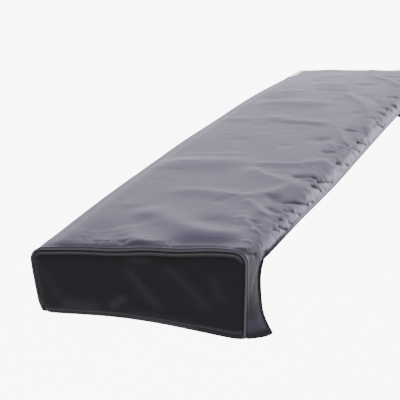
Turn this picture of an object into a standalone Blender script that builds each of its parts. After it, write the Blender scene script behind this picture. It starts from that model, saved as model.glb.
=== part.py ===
"""A fitted dust cover for a long music keyboard.

The main panel is one cloth: a low front wall, a wide top and a short gathered skirt at the
back, with a full-depth tab at each back corner. A panel closes each end, and a piped seam
joins it to the main panel. +X is the near end, -Y the front and +Z up. The origin is where
the cover rests on the keyboard: the middle of the underside of its top.
"""

import math
import random
from collections import namedtuple

import bmesh
import bpy
import numpy as np

MM = 0.001

# Driving dimensions, in metres. Heights are measured up from the hem.
LENGTH = 1.350  # from end seam to end seam
DEPTH = 0.300  # over the front and back walls
FRONT_HEIGHT = 0.0900  # of the top's front edge
BACK_HEIGHT = 0.1165  # of the top's back edge
FRONT_ROUND = 0.016  # radius of the bend over the front edge
BACK_ROUND = 0.017
CLOTH = 0.0012
HEM_CLOTH = 0.0022  # the cloth where the hem is turned under
HEM_WIDTH = 0.0075
HEM_STEP = 0.0015  # over which the hem thins out to single cloth
MOST_HEM = 0.65  # largest share of a short wall that its hem takes up
PIPING_RADIUS = 0.0019
GAP = 0.0003  # between pieces that are sewn together
SEAM_GAP = 0.0006  # at the main panel's edge, whose slopes lean its rim outwards

# The walls
FRONT_LEAN = 0.011  # the front hem lies this far inside the front edge
FRONT_LEAN_CURVE = 1.8
SWELL_LOST = 0.6  # share of the front edge's swell that is gone at the hem
FRONT_TUCK = 0.005  # its hem curls in by this much more
FRONT_TUCK_HEIGHT = 0.019
BACK_LEAN = 0.004
HEM_TUCK = 0.003  # elastic draws the skirt's hem in
TUCK_START = (0.070, 0.100)  # distances from the end seam over which that begins
FLARE = 0.029  # the corner tab stands out this far at its hem
FLARE_REACH = 0.015  # distance from the seam over which the flare opens
FLARE_TOP = 0.085
FLARE_CURVE = 1.7
FAN_WIDTH = 0.135  # cloth beside the end seam that spreads round the cut-out
FAN_CURVE = 1.5  # the spread grows with this power of the way down
TAB_TIP = 0.038  # width of the tab at its hem

# The end panels
END_SWELL = 0.0035  # the end panel stands out past its seam
END_TURN = 0.006
END_CORNER = 0.0008  # its hem starts this far over the piping's ends
END_ARCH = 0.0074  # and rises between the corners
ARCH_HALF_WIDTH = 0.140
ARCH_CURVE = 1.7

# Steps of the cloth's grid
COLUMN_PITCH = 0.0145
END_COLUMNS = 14
TOP_ROWS = 8
BEND_ROWS = 3
WALL_ROWS = 4
FRONT_CALM = 0.15  # share of the folds that reaches the front edge
FRONT_CALM_REACH = 0.030
SEAM_CALM = (0.002, 0.016)  # distances from the end seam over which the folds begin
END_CALM = 0.012  # the same for an end panel's folds
SMALLEST_FOLD = 0.009  # a narrower crease is made this wide here
PIPING_STEPS = 96

# Sections along the length, in millimetres: how far the front edge is lifted and pushed out,
# how far the back edge is lifted, how far the middle of the top crowns, and the height of the
# skirt's hem.
Section = namedtuple("Section", "x front_rise front_swell back_rise crown skirt_hem")
SECTIONS = [
    Section(-675, 0.0, 0.0, -3.5, 0.0, 85.0),
    Section(-600, 1.0, 1.5, -2.0, 1.5, 85.5),
    Section(-460, 5.5, 6.0, 1.0, 3.0, 87.0),
    Section(-320, 7.5, 9.0, 2.5, 3.5, 87.5),
    Section(-100, 7.5, 9.0, 3.0, 3.5, 85.5),
    Section(80, 7.5, 9.5, 2.5, 3.0, 82.5),
    Section(200, 6.5, 7.5, 2.0, 3.0, 80.5),
    Section(290, 5.5, 6.5, 2.0, 3.0, 80.5),
    Section(420, 4.0, 4.5, 1.5, 2.5, 84.5),
    Section(540, 2.0, 1.5, 1.0, 1.5, 85.0),
    Section(620, 0.5, 0.0, 0.5, 0.5, 86.0),
    Section(675, 0.0, 0.0, 0.0, 0.0, 86.0),
]

# Small rises and dips of the end seams, in millimetres; they fade out along the top.
# The near end is side 1 and the far end side -1.
Ripple = namedtuple("Ripple", "side y height width")
SEAM_RIPPLES = [
    Ripple(1, -90, 1.0, 18),
    Ripple(1, -44, -2.4, 20),
    Ripple(1, -3, 1.4, 14),
    Ripple(1, 44, -2.0, 20),
    Ripple(1, 98, 2.4, 26),
    Ripple(-1, -70, 1.5, 30),
    Ripple(-1, 60, -1.0, 30),
]
RIPPLE_REACH = 0.045

# The edge of the corner tab and its cut-out, from the end seam to the skirt, in millimetres:
# distance in from the seam and height above the hem.
Edge = namedtuple("Edge", "inward height")
TAB_HEM = [Edge(0, 0), Edge(20, 0), Edge(38, 2)]
CUT_OUT = [
    Edge(38, 2),
    Edge(41, 14),
    Edge(44, 30),
    Edge(49, 46),
    Edge(53, 60),
    Edge(54, 71),
    Edge(60, 79),
    Edge(69, 84),
    Edge(86, 86),
    Edge(135, 86),
]

# Main folds of the top and skirt, in millimetres. x runs along the cover; w runs across the
# cloth from the middle of the top, over the back edge and down the skirt. A trough has a
# negative height.
Fold = namedtuple("Fold", "x_from w_from x_to w_to width height")
FOLDS = [
    # broad rolls across the top
    Fold(250, -150, 256, 10, 27, 3.4),
    Fold(256, 10, 226, 90, 20, 3.0),
    Fold(226, 90, 172, 148, 13, 2.0),
    Fold(505, -40, 560, 25, 24, 2.4),
    Fold(560, 25, 602, 110, 22, 3.2),
    Fold(602, 110, 604, 150, 20, 2.4),
    Fold(645, 15, 641, 148, 15, -3.4),
    Fold(415, -10, 424, 60, 18, 2.2),
    Fold(345, -70, 352, 40, 26, -1.8),
    Fold(-235, -120, -228, 55, 26, 3.0),
    Fold(-75, -150, -76, -50, 16, 1.6),
    Fold(-430, -50, -436, 45, 16, 1.8),
    Fold(66, -70, 72, -10, 18, 1.4),
    Fold(-20, 15, -12, 70, 24, 1.6),
    # creases drawn towards the back hem
    Fold(262, 35, 304, 74, 9, 1.8),
    Fold(304, 74, 348, 150, 9, 2.2),
    Fold(424, 60, 402, 92, 11, 2.4),
    Fold(402, 92, 350, 146, 11, 2.2),
    Fold(435, 84, 518, 152, 8, 1.8),
    Fold(522, 98, 594, 146, 8, 1.7),
    Fold(-140, -45, -76, -2, 16, 1.8),
    Fold(-76, -2, -40, 92, 15, 2.4),
    Fold(-40, 92, 62, 150, 9, 2.2),
    Fold(-345, 44, -252, 98, 9, 1.9),
    Fold(-252, 98, -170, 146, 9, 2.0),
    Fold(-642, 28, -522, 84, 10, 1.8),
    Fold(-522, 84, -410, 130, 10, 1.8),
    Fold(-160, 40, -134, 130, 17, 1.5),
    # hollows between them
    Fold(296, 95, 304, 150, 13, -2.2),
    Fold(430, 100, 456, 145, 12, -2.4),
    Fold(54, 76, 62, 116, 14, -2.2),
    Fold(136, 112, 150, 146, 13, -2.0),
    Fold(-12, 112, 20, 146, 9, -2.2),
    Fold(532, 44, 540, 92, 12, -1.8),
    Fold(-440, 56, -428, 92, 12, -1.8),
    # short gathers where the top meets the near end seam
    Fold(668, -86, 630, -116, 6, 1.2),
    Fold(668, -60, 622, -90, 7, 1.4),
    Fold(668, -28, 616, -50, 7, -1.5),
    Fold(668, -8, 628, -24, 6, 1.3),
    Fold(668, 22, 618, 52, 9, 1.6),
]

# Folds of the end panels, in millimetres, seen from outside; y runs from front to back.
EndFold = namedtuple("EndFold", "y_from z_from y_to z_to width height")
END_FOLDS = [
    EndFold(-102, 24, -46, 30, 9, 1.6),
    EndFold(-46, 30, -4, 46, 7, 1.6),
    EndFold(-12, 18, -2, 34, 7, -1.4),
    EndFold(16, 66, 34, 48, 9, 1.0),
    EndFold(70, 44, 104, 30, 10, 1.0),
    EndFold(92, 92, 122, 60, 10, -0.9),
]

# Gathers of the back skirt
GATHER_SEED = 7
GATHER_SPAN = 0.575  # they run this far either side of the middle
GATHER_PITCH = (0.021, 0.036)
GATHER_LENGTH = (0.022, 0.050)
GATHER_HEIGHT = (0.0010, 0.0021)
GATHER_WIDTH = 0.0075
GATHER_LEAN = (0.3, 1.1)

# The blank label at the far end
LABEL_LENGTH = 0.094
LABEL_WIDTH = 0.018
LABEL_CLOTH = 0.0010
LABEL_GAP = 0.0004
LABEL_X = -0.620
LABEL_W = -0.136
LABEL_CALM = (0.004, 0.030)  # distances from the label over which the folds begin

# Worked-out places across the cloth
HALF_LENGTH = LENGTH / 2
MAIN_EDGE = HALF_LENGTH - PIPING_RADIUS - SEAM_GAP
FRONT_BEND = -DEPTH / 2 + FRONT_ROUND
BACK_BEND = DEPTH / 2 - BACK_ROUND
FRONT_WALL = FRONT_BEND - FRONT_ROUND * math.pi / 2
BACK_WALL = BACK_BEND + BACK_ROUND * math.pi / 2
FRONT_WALL_TOP = FRONT_HEIGHT - FRONT_ROUND
BACK_WALL_TOP = BACK_HEIGHT - BACK_ROUND
SMALL = 0.0005


def through(stations, values, at):
    """A smooth line through a table's values, read at other stations."""
    stations, values, at = (np.asarray(a, float) for a in (stations, values, at))
    slopes = np.gradient(values, stations)
    k = np.clip(np.searchsorted(stations, at) - 1, 0, len(stations) - 2)
    step = stations[k + 1] - stations[k]
    f = np.clip((at - stations[k]) / step, 0, 1)
    return (
        values[k] * (1 + 2 * f) * (1 - f) ** 2
        + slopes[k] * step * f * (1 - f) ** 2
        + values[k + 1] * f * f * (3 - 2 * f)
        + slopes[k + 1] * step * f * f * (f - 1)
    )


def section_value(name, x):
    """One column of the table of sections, in metres, at any x."""
    stations = [row.x * MM for row in SECTIONS]
    return through(stations, [getattr(row, name) * MM for row in SECTIONS], x)


def ramp(value, low, high):
    """0 below low, 1 above high, smooth between."""
    f = np.clip((value - low) / (high - low), 0, 1)
    return f * f * (3 - 2 * f)


def crease(x, w, row, width):
    """The height of one fold at x, w: a rounded ridge along a line, tapered at its ends."""
    x_from, w_from, x_to, w_to, _, height = (value * MM for value in row)
    run_x, run_w = x_to - x_from, w_to - w_from
    length = math.hypot(run_x, run_w)
    along = ((x - x_from) * run_x + (w - w_from) * run_w) / length
    aside = ((x - x_from) * run_w - (w - w_from) * run_x) / length
    past = np.maximum(0, np.maximum(-along, along - length))
    return height * np.exp(-(aside**2 + past**2) / width**2)


def gathers():
    """The small folds above the skirt's hem: x at the hem, length, height and lean of each."""
    dice = random.Random(GATHER_SEED)
    rows = []
    x = -GATHER_SPAN
    while x < GATHER_SPAN:
        rows.append(
            (
                x,
                dice.uniform(*GATHER_LENGTH),
                dice.uniform(*GATHER_HEIGHT),
                dice.uniform(*GATHER_LEAN),
            )
        )
        x += dice.uniform(*GATHER_PITCH)
    return rows


GATHERS = gathers()


def relief(x, w):
    """How far the folds lift the cloth of the main panel off its plain shape."""
    height = np.zeros(np.broadcast(x, w).shape)
    for row in FOLDS:
        height += crease(x, w, row, max(row.width * MM, SMALLEST_FOLD))
    hem_w = BACK_WALL + BACK_WALL_TOP - section_value("skirt_hem", x)
    from_hem = hem_w - w
    for hem_x, length, rise, lean in GATHERS:
        aside = (x - hem_x) + lean * from_hem
        reach = ramp(from_hem, -HEM_WIDTH / 2, HEM_WIDTH) * (1 - ramp(from_hem, length / 2, length))
        height += rise * reach * np.exp(-((aside / GATHER_WIDTH) ** 2))
    calm = ramp(MAIN_EDGE - np.abs(x), *SEAM_CALM)
    off_front = ramp(w, FRONT_BEND, FRONT_BEND + FRONT_CALM_REACH)
    calm = calm * (FRONT_CALM + (1 - FRONT_CALM) * off_front)
    off_label = np.maximum(
        np.abs(x - LABEL_X) - LABEL_LENGTH / 2, np.abs(w - LABEL_W) - LABEL_WIDTH / 2
    )
    return height * calm * ramp(off_label, *LABEL_CALM)


def plain_cloth(x, w):
    """The main panel without its folds: the point of the cloth at x along and w across."""
    x, w = np.broadcast_arrays(np.asarray(x, float), np.asarray(w, float))
    front_z = FRONT_HEIGHT + section_value("front_rise", x)
    front_y = -section_value("front_swell", x)
    back_z = BACK_HEIGHT + section_value("back_rise", x)

    # the top, with the ripples that fade away from the end seams
    f = np.clip((w - FRONT_BEND) / (BACK_BEND - FRONT_BEND), 0, 1)
    y = FRONT_BEND + (BACK_BEND - FRONT_BEND) * f + front_y * (1 - f) ** 2
    z = front_z + (back_z - front_z) * f + section_value("crown", x) * 4 * f * (1 - f)
    fade = np.exp(-np.maximum(0, MAIN_EDGE - np.abs(x)) / RIPPLE_REACH)
    for row in SEAM_RIPPLES:
        at_end = fade * (np.sign(x) == row.side)
        z += row.height * MM * at_end * np.exp(-(((y / MM) - row.y) / row.width) ** 2)

    # the bend over the front edge and the front wall
    turn = np.clip((FRONT_BEND - w) / FRONT_ROUND, 0, math.pi / 2)
    y -= FRONT_ROUND * np.sin(turn)
    z -= FRONT_ROUND * (1 - np.cos(turn))
    fall = np.clip((FRONT_WALL - w) / FRONT_WALL_TOP, 0, 1)
    z -= fall * (FRONT_WALL_TOP + front_z - FRONT_HEIGHT)
    y += FRONT_LEAN * fall**FRONT_LEAN_CURVE - front_y * SWELL_LOST * fall
    y += FRONT_TUCK * np.clip(1 - z / FRONT_TUCK_HEIGHT, 0, 1) ** 2 * (fall > 0)

    # the bend over the back edge and the back wall
    turn = np.clip((w - BACK_BEND) / BACK_ROUND, 0, math.pi / 2)
    y += BACK_ROUND * np.sin(turn)
    z -= BACK_ROUND * (1 - np.cos(turn))
    drop = np.maximum(0, w - BACK_WALL)
    z -= drop * (BACK_WALL_TOP + back_z - BACK_HEIGHT) / BACK_WALL_TOP
    y -= BACK_LEAN * (drop / BACK_WALL_TOP) ** 2

    # the skirt tucks in along its hem, and the corner tab flares out
    inward = MAIN_EDGE - np.abs(x)
    skirt_drop = BACK_WALL_TOP - section_value("skirt_hem", x)
    skirt = ramp(inward, *TUCK_START)
    y -= HEM_TUCK * skirt * np.clip(drop / skirt_drop, 0, 1.2) ** 2
    opened = 1 - np.exp(-np.maximum(0, inward) / FLARE_REACH)
    y += FLARE * opened * np.clip(1 - z / FLARE_TOP, 0, 1) ** FLARE_CURVE * (drop > 0)
    return np.stack([x, y, z], axis=-1)


def cloth_normal(x, w):
    """The outward normal of the plain cloth."""
    along = plain_cloth(x + SMALL, w) - plain_cloth(x - SMALL, w)
    across = plain_cloth(x, w + SMALL) - plain_cloth(x, w - SMALL)
    normal = np.cross(along, across)
    return normal / np.linalg.norm(normal, axis=-1, keepdims=True)


def cloth(x, w, lift=0.0):
    """The main panel's middle surface with its folds, or a surface lifted off it."""
    height = relief(x, w) + lift
    return plain_cloth(x, w) + cloth_normal(x, w) * height[..., None]


REST_HEIGHT = float(plain_cloth(0.0, 0.0)[2]) - CLOTH / 2


def material(name, colour, roughness):
    """A plain cloth finish."""
    made = bpy.data.materials.new(name)
    made.use_nodes = True
    shader = made.node_tree.nodes["Principled BSDF"]
    shader.inputs["Base Color"].default_value = (*colour, 1)
    shader.inputs["Roughness"].default_value = roughness
    shader.inputs["Metallic"].default_value = 0.0
    made.diffuse_color = (*colour, 1)
    return made


def add_object(name, data, finish, collection):
    """Links an object that stands over the origin, its heights measured from the resting face."""
    made = bpy.data.objects.new(name, data)
    made.location.z = -REST_HEIGHT
    data.materials.append(finish)
    collection.objects.link(made)
    return made


def sheet(name, points, thickness, single_share, finish, collection):
    """A cloth from a grid of points, thickened, and thinner where single_share is below 1."""
    columns, rows = points.shape[:2]
    mesh = bpy.data.meshes.new(name)
    grid = bmesh.new()
    bmesh.ops.create_grid(grid, x_segments=columns - 1, y_segments=rows - 1, size=1)
    order = []
    for vert in grid.verts:
        i = round((vert.co.x + 1) / 2 * (columns - 1))
        j = round((vert.co.y + 1) / 2 * (rows - 1))
        order.append((i, j))
        vert.co = points[i, j]
    grid.to_mesh(mesh)
    grid.free()
    mesh.shade_smooth()
    made = add_object(name, mesh, finish, collection)
    group = made.vertex_groups.new(name="layers")
    for index, (i, j) in enumerate(order):
        group.add([index], float(single_share[i, j]), "REPLACE")
    solid = made.modifiers.new("cloth thickness", "SOLIDIFY")
    solid.thickness = thickness
    solid.offset = 0
    solid.vertex_group = group.name
    return made


def column_places():
    """The x of each column of the main panel, closer together beside the end seams."""
    inner = MAIN_EDGE - FAN_WIDTH
    count = round(2 * inner / COLUMN_PITCH)
    middle = np.linspace(-inner, inner, count + 1)
    near = inner + np.linspace(0, FAN_WIDTH, END_COLUMNS + 1)[1:]
    return np.concatenate([-near[::-1], middle, near])


def hem_line(points_per_span=24):
    """The tab's hem and the cut-out's edge as one line: inward distance and height."""
    line = []
    for rows in (TAB_HEM, CUT_OUT):
        steps = np.linspace(0, len(rows) - 1, points_per_span * (len(rows) - 1) + 1)
        numbers = np.arange(len(rows))
        inward = through(numbers, [row.inward * MM for row in rows], steps)
        height = through(numbers, [row.height * MM for row in rows], steps)
        line.append(np.stack([inward, height], axis=1))
    return np.concatenate([line[0], line[1][1:]])


def fan_hem(inward):
    """Where the cloth beside an end seam meets the hem, for its distance in from the seam."""
    line = hem_line()
    walked = np.concatenate([[0], np.cumsum(np.hypot(*np.diff(line, axis=0).T))])
    tip = walked[np.argmin(np.hypot(line[:, 0] - TAB_TIP, line[:, 1] - CUT_OUT[0].height * MM))]
    share = TAB_TIP / FAN_WIDTH
    f = inward / FAN_WIDTH
    reach = np.where(
        f < share, f / share * tip, tip + (f - share) / (1 - share) * (walked[-1] - tip)
    )
    return np.interp(reach, walked, line[:, 0]), np.interp(reach, walked, line[:, 1])


def hem_rows(length, steps):
    """Shares of a wall's length at its rows, ending with the turned-under hem."""
    hem = min(HEM_WIDTH / length, MOST_HEM)
    step = hem * HEM_STEP / HEM_WIDTH
    return np.concatenate([np.linspace(0, 1 - hem - step, steps + 1), [1 - hem, 1]])


def main_panel(finish, collection):
    """Front wall, top and back skirt with its corner tabs, as one cloth."""
    places = column_places()
    x_rows, w_rows, shares = [], [], []
    for x in places:
        inward = MAIN_EDGE - abs(x)
        front_share = hem_rows(FRONT_WALL_TOP, WALL_ROWS)[::-1]
        front = FRONT_WALL - FRONT_WALL_TOP * front_share
        bend_in = np.linspace(FRONT_WALL, FRONT_BEND, BEND_ROWS + 1)[1:]
        top = np.linspace(FRONT_BEND, BACK_BEND, TOP_ROWS + 1)[1:]
        bend_out = np.linspace(BACK_BEND, BACK_WALL, BEND_ROWS + 1)[1:]
        if inward < FAN_WIDTH:
            hem_in, hem_z = (float(value) for value in fan_hem(inward))
        else:
            hem_in, hem_z = inward, float(section_value("skirt_hem", x))
        drop = BACK_WALL_TOP - hem_z
        back_share = hem_rows(math.hypot(drop, hem_in - inward), WALL_ROWS)[1:]
        back_in = inward + (hem_in - inward) * back_share**FAN_CURVE
        back_x = math.copysign(1, x) * (MAIN_EDGE - back_in)
        above = np.concatenate([front, bend_in, top, bend_out])
        x_rows.append(np.concatenate([np.full(len(above), x), back_x]))
        w_rows.append(np.concatenate([above, BACK_WALL + drop * back_share]))
        single = CLOTH / HEM_CLOTH
        layers = np.full(len(w_rows[-1]), single)
        layers[:2] = layers[-2:] = 1
        shares.append(layers)
    points = cloth(np.array(x_rows), np.array(w_rows))
    return sheet("main_panel", points, HEM_CLOTH, np.array(shares), finish, collection)


def seam_line(steps, side, inset=0.0):
    """An end seam in its own plane, from the front hem over the top to the back hem."""
    fine = np.linspace(FRONT_WALL - FRONT_WALL_TOP, BACK_WALL + BACK_WALL_TOP, 400)
    line = plain_cloth(np.full(len(fine), side * MAIN_EDGE), fine)[:, 1:]
    walked = np.concatenate([[0], np.cumsum(np.hypot(*np.diff(line, axis=0).T))])
    at = np.asarray(steps) * walked[-1]
    y, z = np.interp(at, walked, line[:, 0]), np.interp(at, walked, line[:, 1])
    ahead = np.interp(at + SMALL, walked, line[:, 0]) - np.interp(at - SMALL, walked, line[:, 0])
    up = np.interp(at + SMALL, walked, line[:, 1]) - np.interp(at - SMALL, walked, line[:, 1])
    long = np.hypot(ahead, up)
    return y + inset * up / long, z - inset * ahead / long, walked[-1]


def piping(name, side, finish, collection):
    """A round cord along the end seam, from hem to hem."""
    y, z, _ = seam_line(np.linspace(0, 1, PIPING_STEPS + 1), side)
    curve = bpy.data.curves.new(name, "CURVE")
    curve.dimensions = "3D"
    curve.bevel_depth = PIPING_RADIUS
    curve.bevel_resolution = 2
    curve.use_fill_caps = True
    spline = curve.splines.new("POLY")
    spline.points.add(len(y) - 1)
    for point, across, up in zip(spline.points, y, z):
        point.co = (side * HALF_LENGTH, across, up, 1)
    return add_object(name, curve, finish, collection)


def end_panel(name, side, finish, collection, columns=34, rows=9):
    """The end cloth inside its piping, swelling out a little, with a bowed hem."""
    inset = PIPING_RADIUS + GAP
    total = seam_line([0], side)[2]
    front_corner = (FRONT_WALL_TOP + FRONT_ROUND * math.pi / 4) / total
    back_corner = 1 - (BACK_WALL_TOP + BACK_ROUND * math.pi / 4) / total
    across = np.linspace(0, 1, columns + 1)[:, None]
    hem = HEM_WIDTH / FRONT_HEIGHT
    up = np.concatenate([[0, hem / 2, hem], np.linspace(hem + HEM_STEP / FRONT_HEIGHT, 1, rows)])
    up = up[None, :]
    left_y, left_z, _ = seam_line(up[0] * front_corner, side, inset)
    right_y, right_z, _ = seam_line(1 - up[0] * (1 - back_corner), side, inset)
    top_share = front_corner + across[:, 0] * (back_corner - front_corner)
    top_y, top_z, _ = seam_line(top_share, side, inset)
    hem_y = left_y[0] + (right_y[0] - left_y[0]) * across[:, 0]
    bow = np.clip(1 - (hem_y / ARCH_HALF_WIDTH) ** 2, 0, 1) ** ARCH_CURVE
    hem_z = END_CORNER + END_ARCH * bow

    def blended(left, right, bottom, top):
        """A surface filled in between its four edges."""
        ruled = (1 - across) * left + across * right + (1 - up) * bottom[:, None] + up * top[:, None]
        corners = (1 - up) * ((1 - across) * left[0] + across * right[0])
        return ruled - corners - up * ((1 - across) * left[-1] + across * right[-1])

    y = blended(left_y, right_y, hem_y, top_y)
    z = blended(left_z, right_z, hem_z, top_z)
    edge_y, edge_z, _ = seam_line(np.linspace(0, 1, 240), side, inset)
    from_seam = np.min(np.hypot(y[..., None] - edge_y, z[..., None] - edge_z), axis=-1)
    swell = END_SWELL * (1 - np.exp(-from_seam / END_TURN))
    for row in END_FOLDS:
        fold = crease(y, z, row, max(row.width * MM, SMALLEST_FOLD))
        swell += fold * ramp(from_seam, 0, END_CALM)
    points = np.stack([side * (HALF_LENGTH + swell), y, z], axis=-1)
    layers = np.broadcast_to(np.where(up <= hem, 1, CLOTH / HEM_CLOTH), y.shape)
    if side < 0:
        points, layers = points[::-1], layers[::-1]
    return sheet(name, points, HEM_CLOTH, layers, finish, collection)


def label(finish, collection, columns=12, rows=5):
    """A blank woven label that lies on the top beside its front edge."""
    x = LABEL_X + LABEL_LENGTH * np.linspace(-0.5, 0.5, columns + 1)[:, None]
    w = LABEL_W + LABEL_WIDTH * np.linspace(-0.5, 0.5, rows + 1)[None, :]
    x, w = np.broadcast_arrays(x, w)
    lift = CLOTH / 2 + LABEL_GAP + LABEL_CLOTH / 2
    points = cloth(x, w, lift)
    return sheet("label", points, LABEL_CLOTH, np.ones(x.shape), finish, collection)


def build():
    """Models every piece of the cover."""
    for old in list(bpy.data.objects):
        bpy.data.objects.remove(old)
    cover = bpy.data.collections.new("keyboard dust cover")
    bpy.context.scene.collection.children.link(cover)
    grey = material("grey coated nylon", (0.150, 0.146, 0.168), 0.45)
    black = material("black coated nylon", (0.018, 0.018, 0.020), 0.50)
    cord = material("grey piping", (0.085, 0.085, 0.092), 0.45)
    white = material("white woven label", (0.80, 0.80, 0.80), 0.70)
    main_panel(grey, cover)
    for side, end in ((1, "near"), (-1, "far")):
        end_panel(f"end_panel_{end}", side, black.copy(), cover)
        piping(f"piping_{end}", side, cord.copy(), cover)
    label(white, cover)


build()
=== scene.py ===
"""The looks of a fitted dust cover for a long music keyboard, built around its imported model.

Lengths are in metres, and in millimetres in the tables of folds, sections and seams. The frame is
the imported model's: +X is the near end, -Y the front and +Z up, from the middle of the underside
of the top. Each cloth is a sheet that follows its solid's form, with finer folds, turned hems and
stitches added.
"""

from __future__ import annotations

import logging
import math
import random
from dataclasses import dataclass, field
from enum import Enum
from functools import cache
from typing import Mapping, NamedTuple, Sequence

import bpy
import numpy as np
from mathutils import Matrix, Vector

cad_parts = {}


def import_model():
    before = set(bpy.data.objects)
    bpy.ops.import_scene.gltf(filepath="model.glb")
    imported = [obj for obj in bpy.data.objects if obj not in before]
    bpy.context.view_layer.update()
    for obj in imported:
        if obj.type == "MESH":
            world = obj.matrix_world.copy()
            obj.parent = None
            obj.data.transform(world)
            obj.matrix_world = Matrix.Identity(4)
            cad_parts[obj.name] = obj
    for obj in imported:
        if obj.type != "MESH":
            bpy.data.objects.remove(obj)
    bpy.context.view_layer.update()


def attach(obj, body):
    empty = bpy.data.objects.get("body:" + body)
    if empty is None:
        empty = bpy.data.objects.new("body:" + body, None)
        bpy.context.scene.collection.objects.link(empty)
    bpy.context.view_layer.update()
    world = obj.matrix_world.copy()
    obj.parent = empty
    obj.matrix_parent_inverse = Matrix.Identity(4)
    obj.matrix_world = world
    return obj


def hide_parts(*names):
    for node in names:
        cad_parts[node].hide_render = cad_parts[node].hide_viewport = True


LOG = logging.getLogger("dust_cover")
MM = 0.001
TINY = 1e-12
ROOT_BODY = "root"
UV_NAME = "cloth"
# the point attribute that says where colour is painted: painted shade on the grey cloth and its
# tape, painted light on the black cloth
SHADE_NAME = "shade"


class End(Enum):
    """The two ends of the cover, as the sign of their x."""

    NEAR = 1
    FAR = -1

    @property
    def word(self) -> str:
        """The end's word in the names of its pieces."""
        return self.name.lower()


class Fold(NamedTuple):
    """A ridge along a line on a cloth, in millimetres; a trough has a negative height.

    On the main cloth the line's points are x along the cover and w across the cloth, from the
    middle of the top over the back edge and down the skirt, with w rising. On an end panel they
    are y from front to back and z up from the hem. Each flank has its own width: the one towards
    the near end, where y is lower on a panel, and the one towards the far end. A sharp fold has
    a crest line and hollow flanks.
    """

    line: tuple[tuple[float, float], ...]
    far: float
    near: float
    height: float
    sharp: float = 0.0


class EdgeStep(NamedTuple):
    """A point of the main cloth's rise beside an end seam, in millimetres.

    It gives the distance in from the cloth's edge, and the rise on the top and on the walls.
    """

    inward: float
    top: float
    wall: float


class Section(NamedTuple):
    """The cover's cross-section at one x, in millimetres."""

    x: float
    front_rise: float
    front_swell: float
    back_rise: float
    crown: float
    skirt_hem: float
    skirt_out: float


class Ripple(NamedTuple):
    """A rise or dip of an end seam, in millimetres, at the end with this sign."""

    side: int
    y: float
    height: float
    width: float


class Edge(NamedTuple):
    """A point of the corner tab's edge, in millimetres from the end seam and over the hem."""

    inward: float
    height: float


class TurnStep(NamedTuple):
    """A point of an end panel's bulge beside its seam, in millimetres.

    It gives the distance in from the seam, and how far the cloth stands out past it.
    """

    inward: float
    out: float


SECTIONS = (
    Section(-675, 3.0, 1.0, -3.5, 0.0, 85.6, 2.0),
    Section(-600, 3.8, 2.5, -2.0, 1.5, 86.0, 4.0),
    Section(-460, 7.0, 7.0, 1.0, 3.0, 88.0, 6.0),
    Section(-320, 9.0, 10.0, 2.5, 3.5, 89.5, 6.5),
    Section(-100, 9.0, 10.0, 3.0, 3.5, 87.5, 5.5),
    Section(80, 9.0, 10.5, 2.5, 3.0, 84.2, 4.0),
    Section(200, 8.0, 8.5, 2.0, 3.0, 82.0, 3.0),
    Section(290, 7.0, 7.5, 2.0, 3.0, 82.9, 2.5),
    Section(420, 5.5, 5.5, 1.5, 2.5, 85.5, 2.0),
    Section(540, 3.0, 2.5, 1.0, 1.5, 85.6, 1.5),
    Section(620, 1.0, 0.5, 0.5, 0.5, 85.6, 1.0),
    Section(675, 0.0, 0.0, 0.0, 0.0, 85.6, 0.0),
)

SEAM_RIPPLES = (
    Ripple(1, -96, 0.8, 24),
    Ripple(1, -40, -1.0, 22),
    Ripple(1, 6, 0.8, 20),
    Ripple(1, 52, -0.8, 24),
    Ripple(1, 104, 0.8, 24),
    Ripple(1, -50, 1.3, 36),
    Ripple(1, 28, 1.6, 32),
    Ripple(1, 100, 2.2, 60),
    Ripple(-1, -70, 1.5, 30),
    Ripple(-1, 60, -1.0, 30),
)

SEAM_ROLL = (
    EdgeStep(-1.2, -2.1, -1.9),
    EdgeStep(-0.5, -1.7, -1.5),
    EdgeStep(0.1, -1.0, -0.9),
    EdgeStep(0.7, -0.1, -0.2),
    EdgeStep(1.3, 0.7, 0.3),
    EdgeStep(2.0, 1.15, 0.6),
    EdgeStep(2.8, 1.2, 0.6),
    EdgeStep(3.9, 0.85, 0.4),
    EdgeStep(5.2, 0.65, 0.2),
    EdgeStep(8.0, 1.2, 0.2),
    EdgeStep(12.0, 2.3, 0.4),
    EdgeStep(18.0, 3.5, 0.7),
    EdgeStep(25.0, 4.1, 0.9),
    EdgeStep(36.0, 4.3, 1.0),
    EdgeStep(46.0, 4.3, 1.0),
)

TAB_HEM = (Edge(0, 0), Edge(18, -0.8), Edge(36, -2.0))
CUT_OUT = (
    Edge(36, -2),
    Edge(37, 12),
    Edge(40.5, 30),
    Edge(44.5, 46),
    Edge(47, 60),
    Edge(49, 72),
    Edge(54, 79),
    Edge(62, 83.4),
    Edge(78, 85.6),
    Edge(135, 85.6),
)

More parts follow.
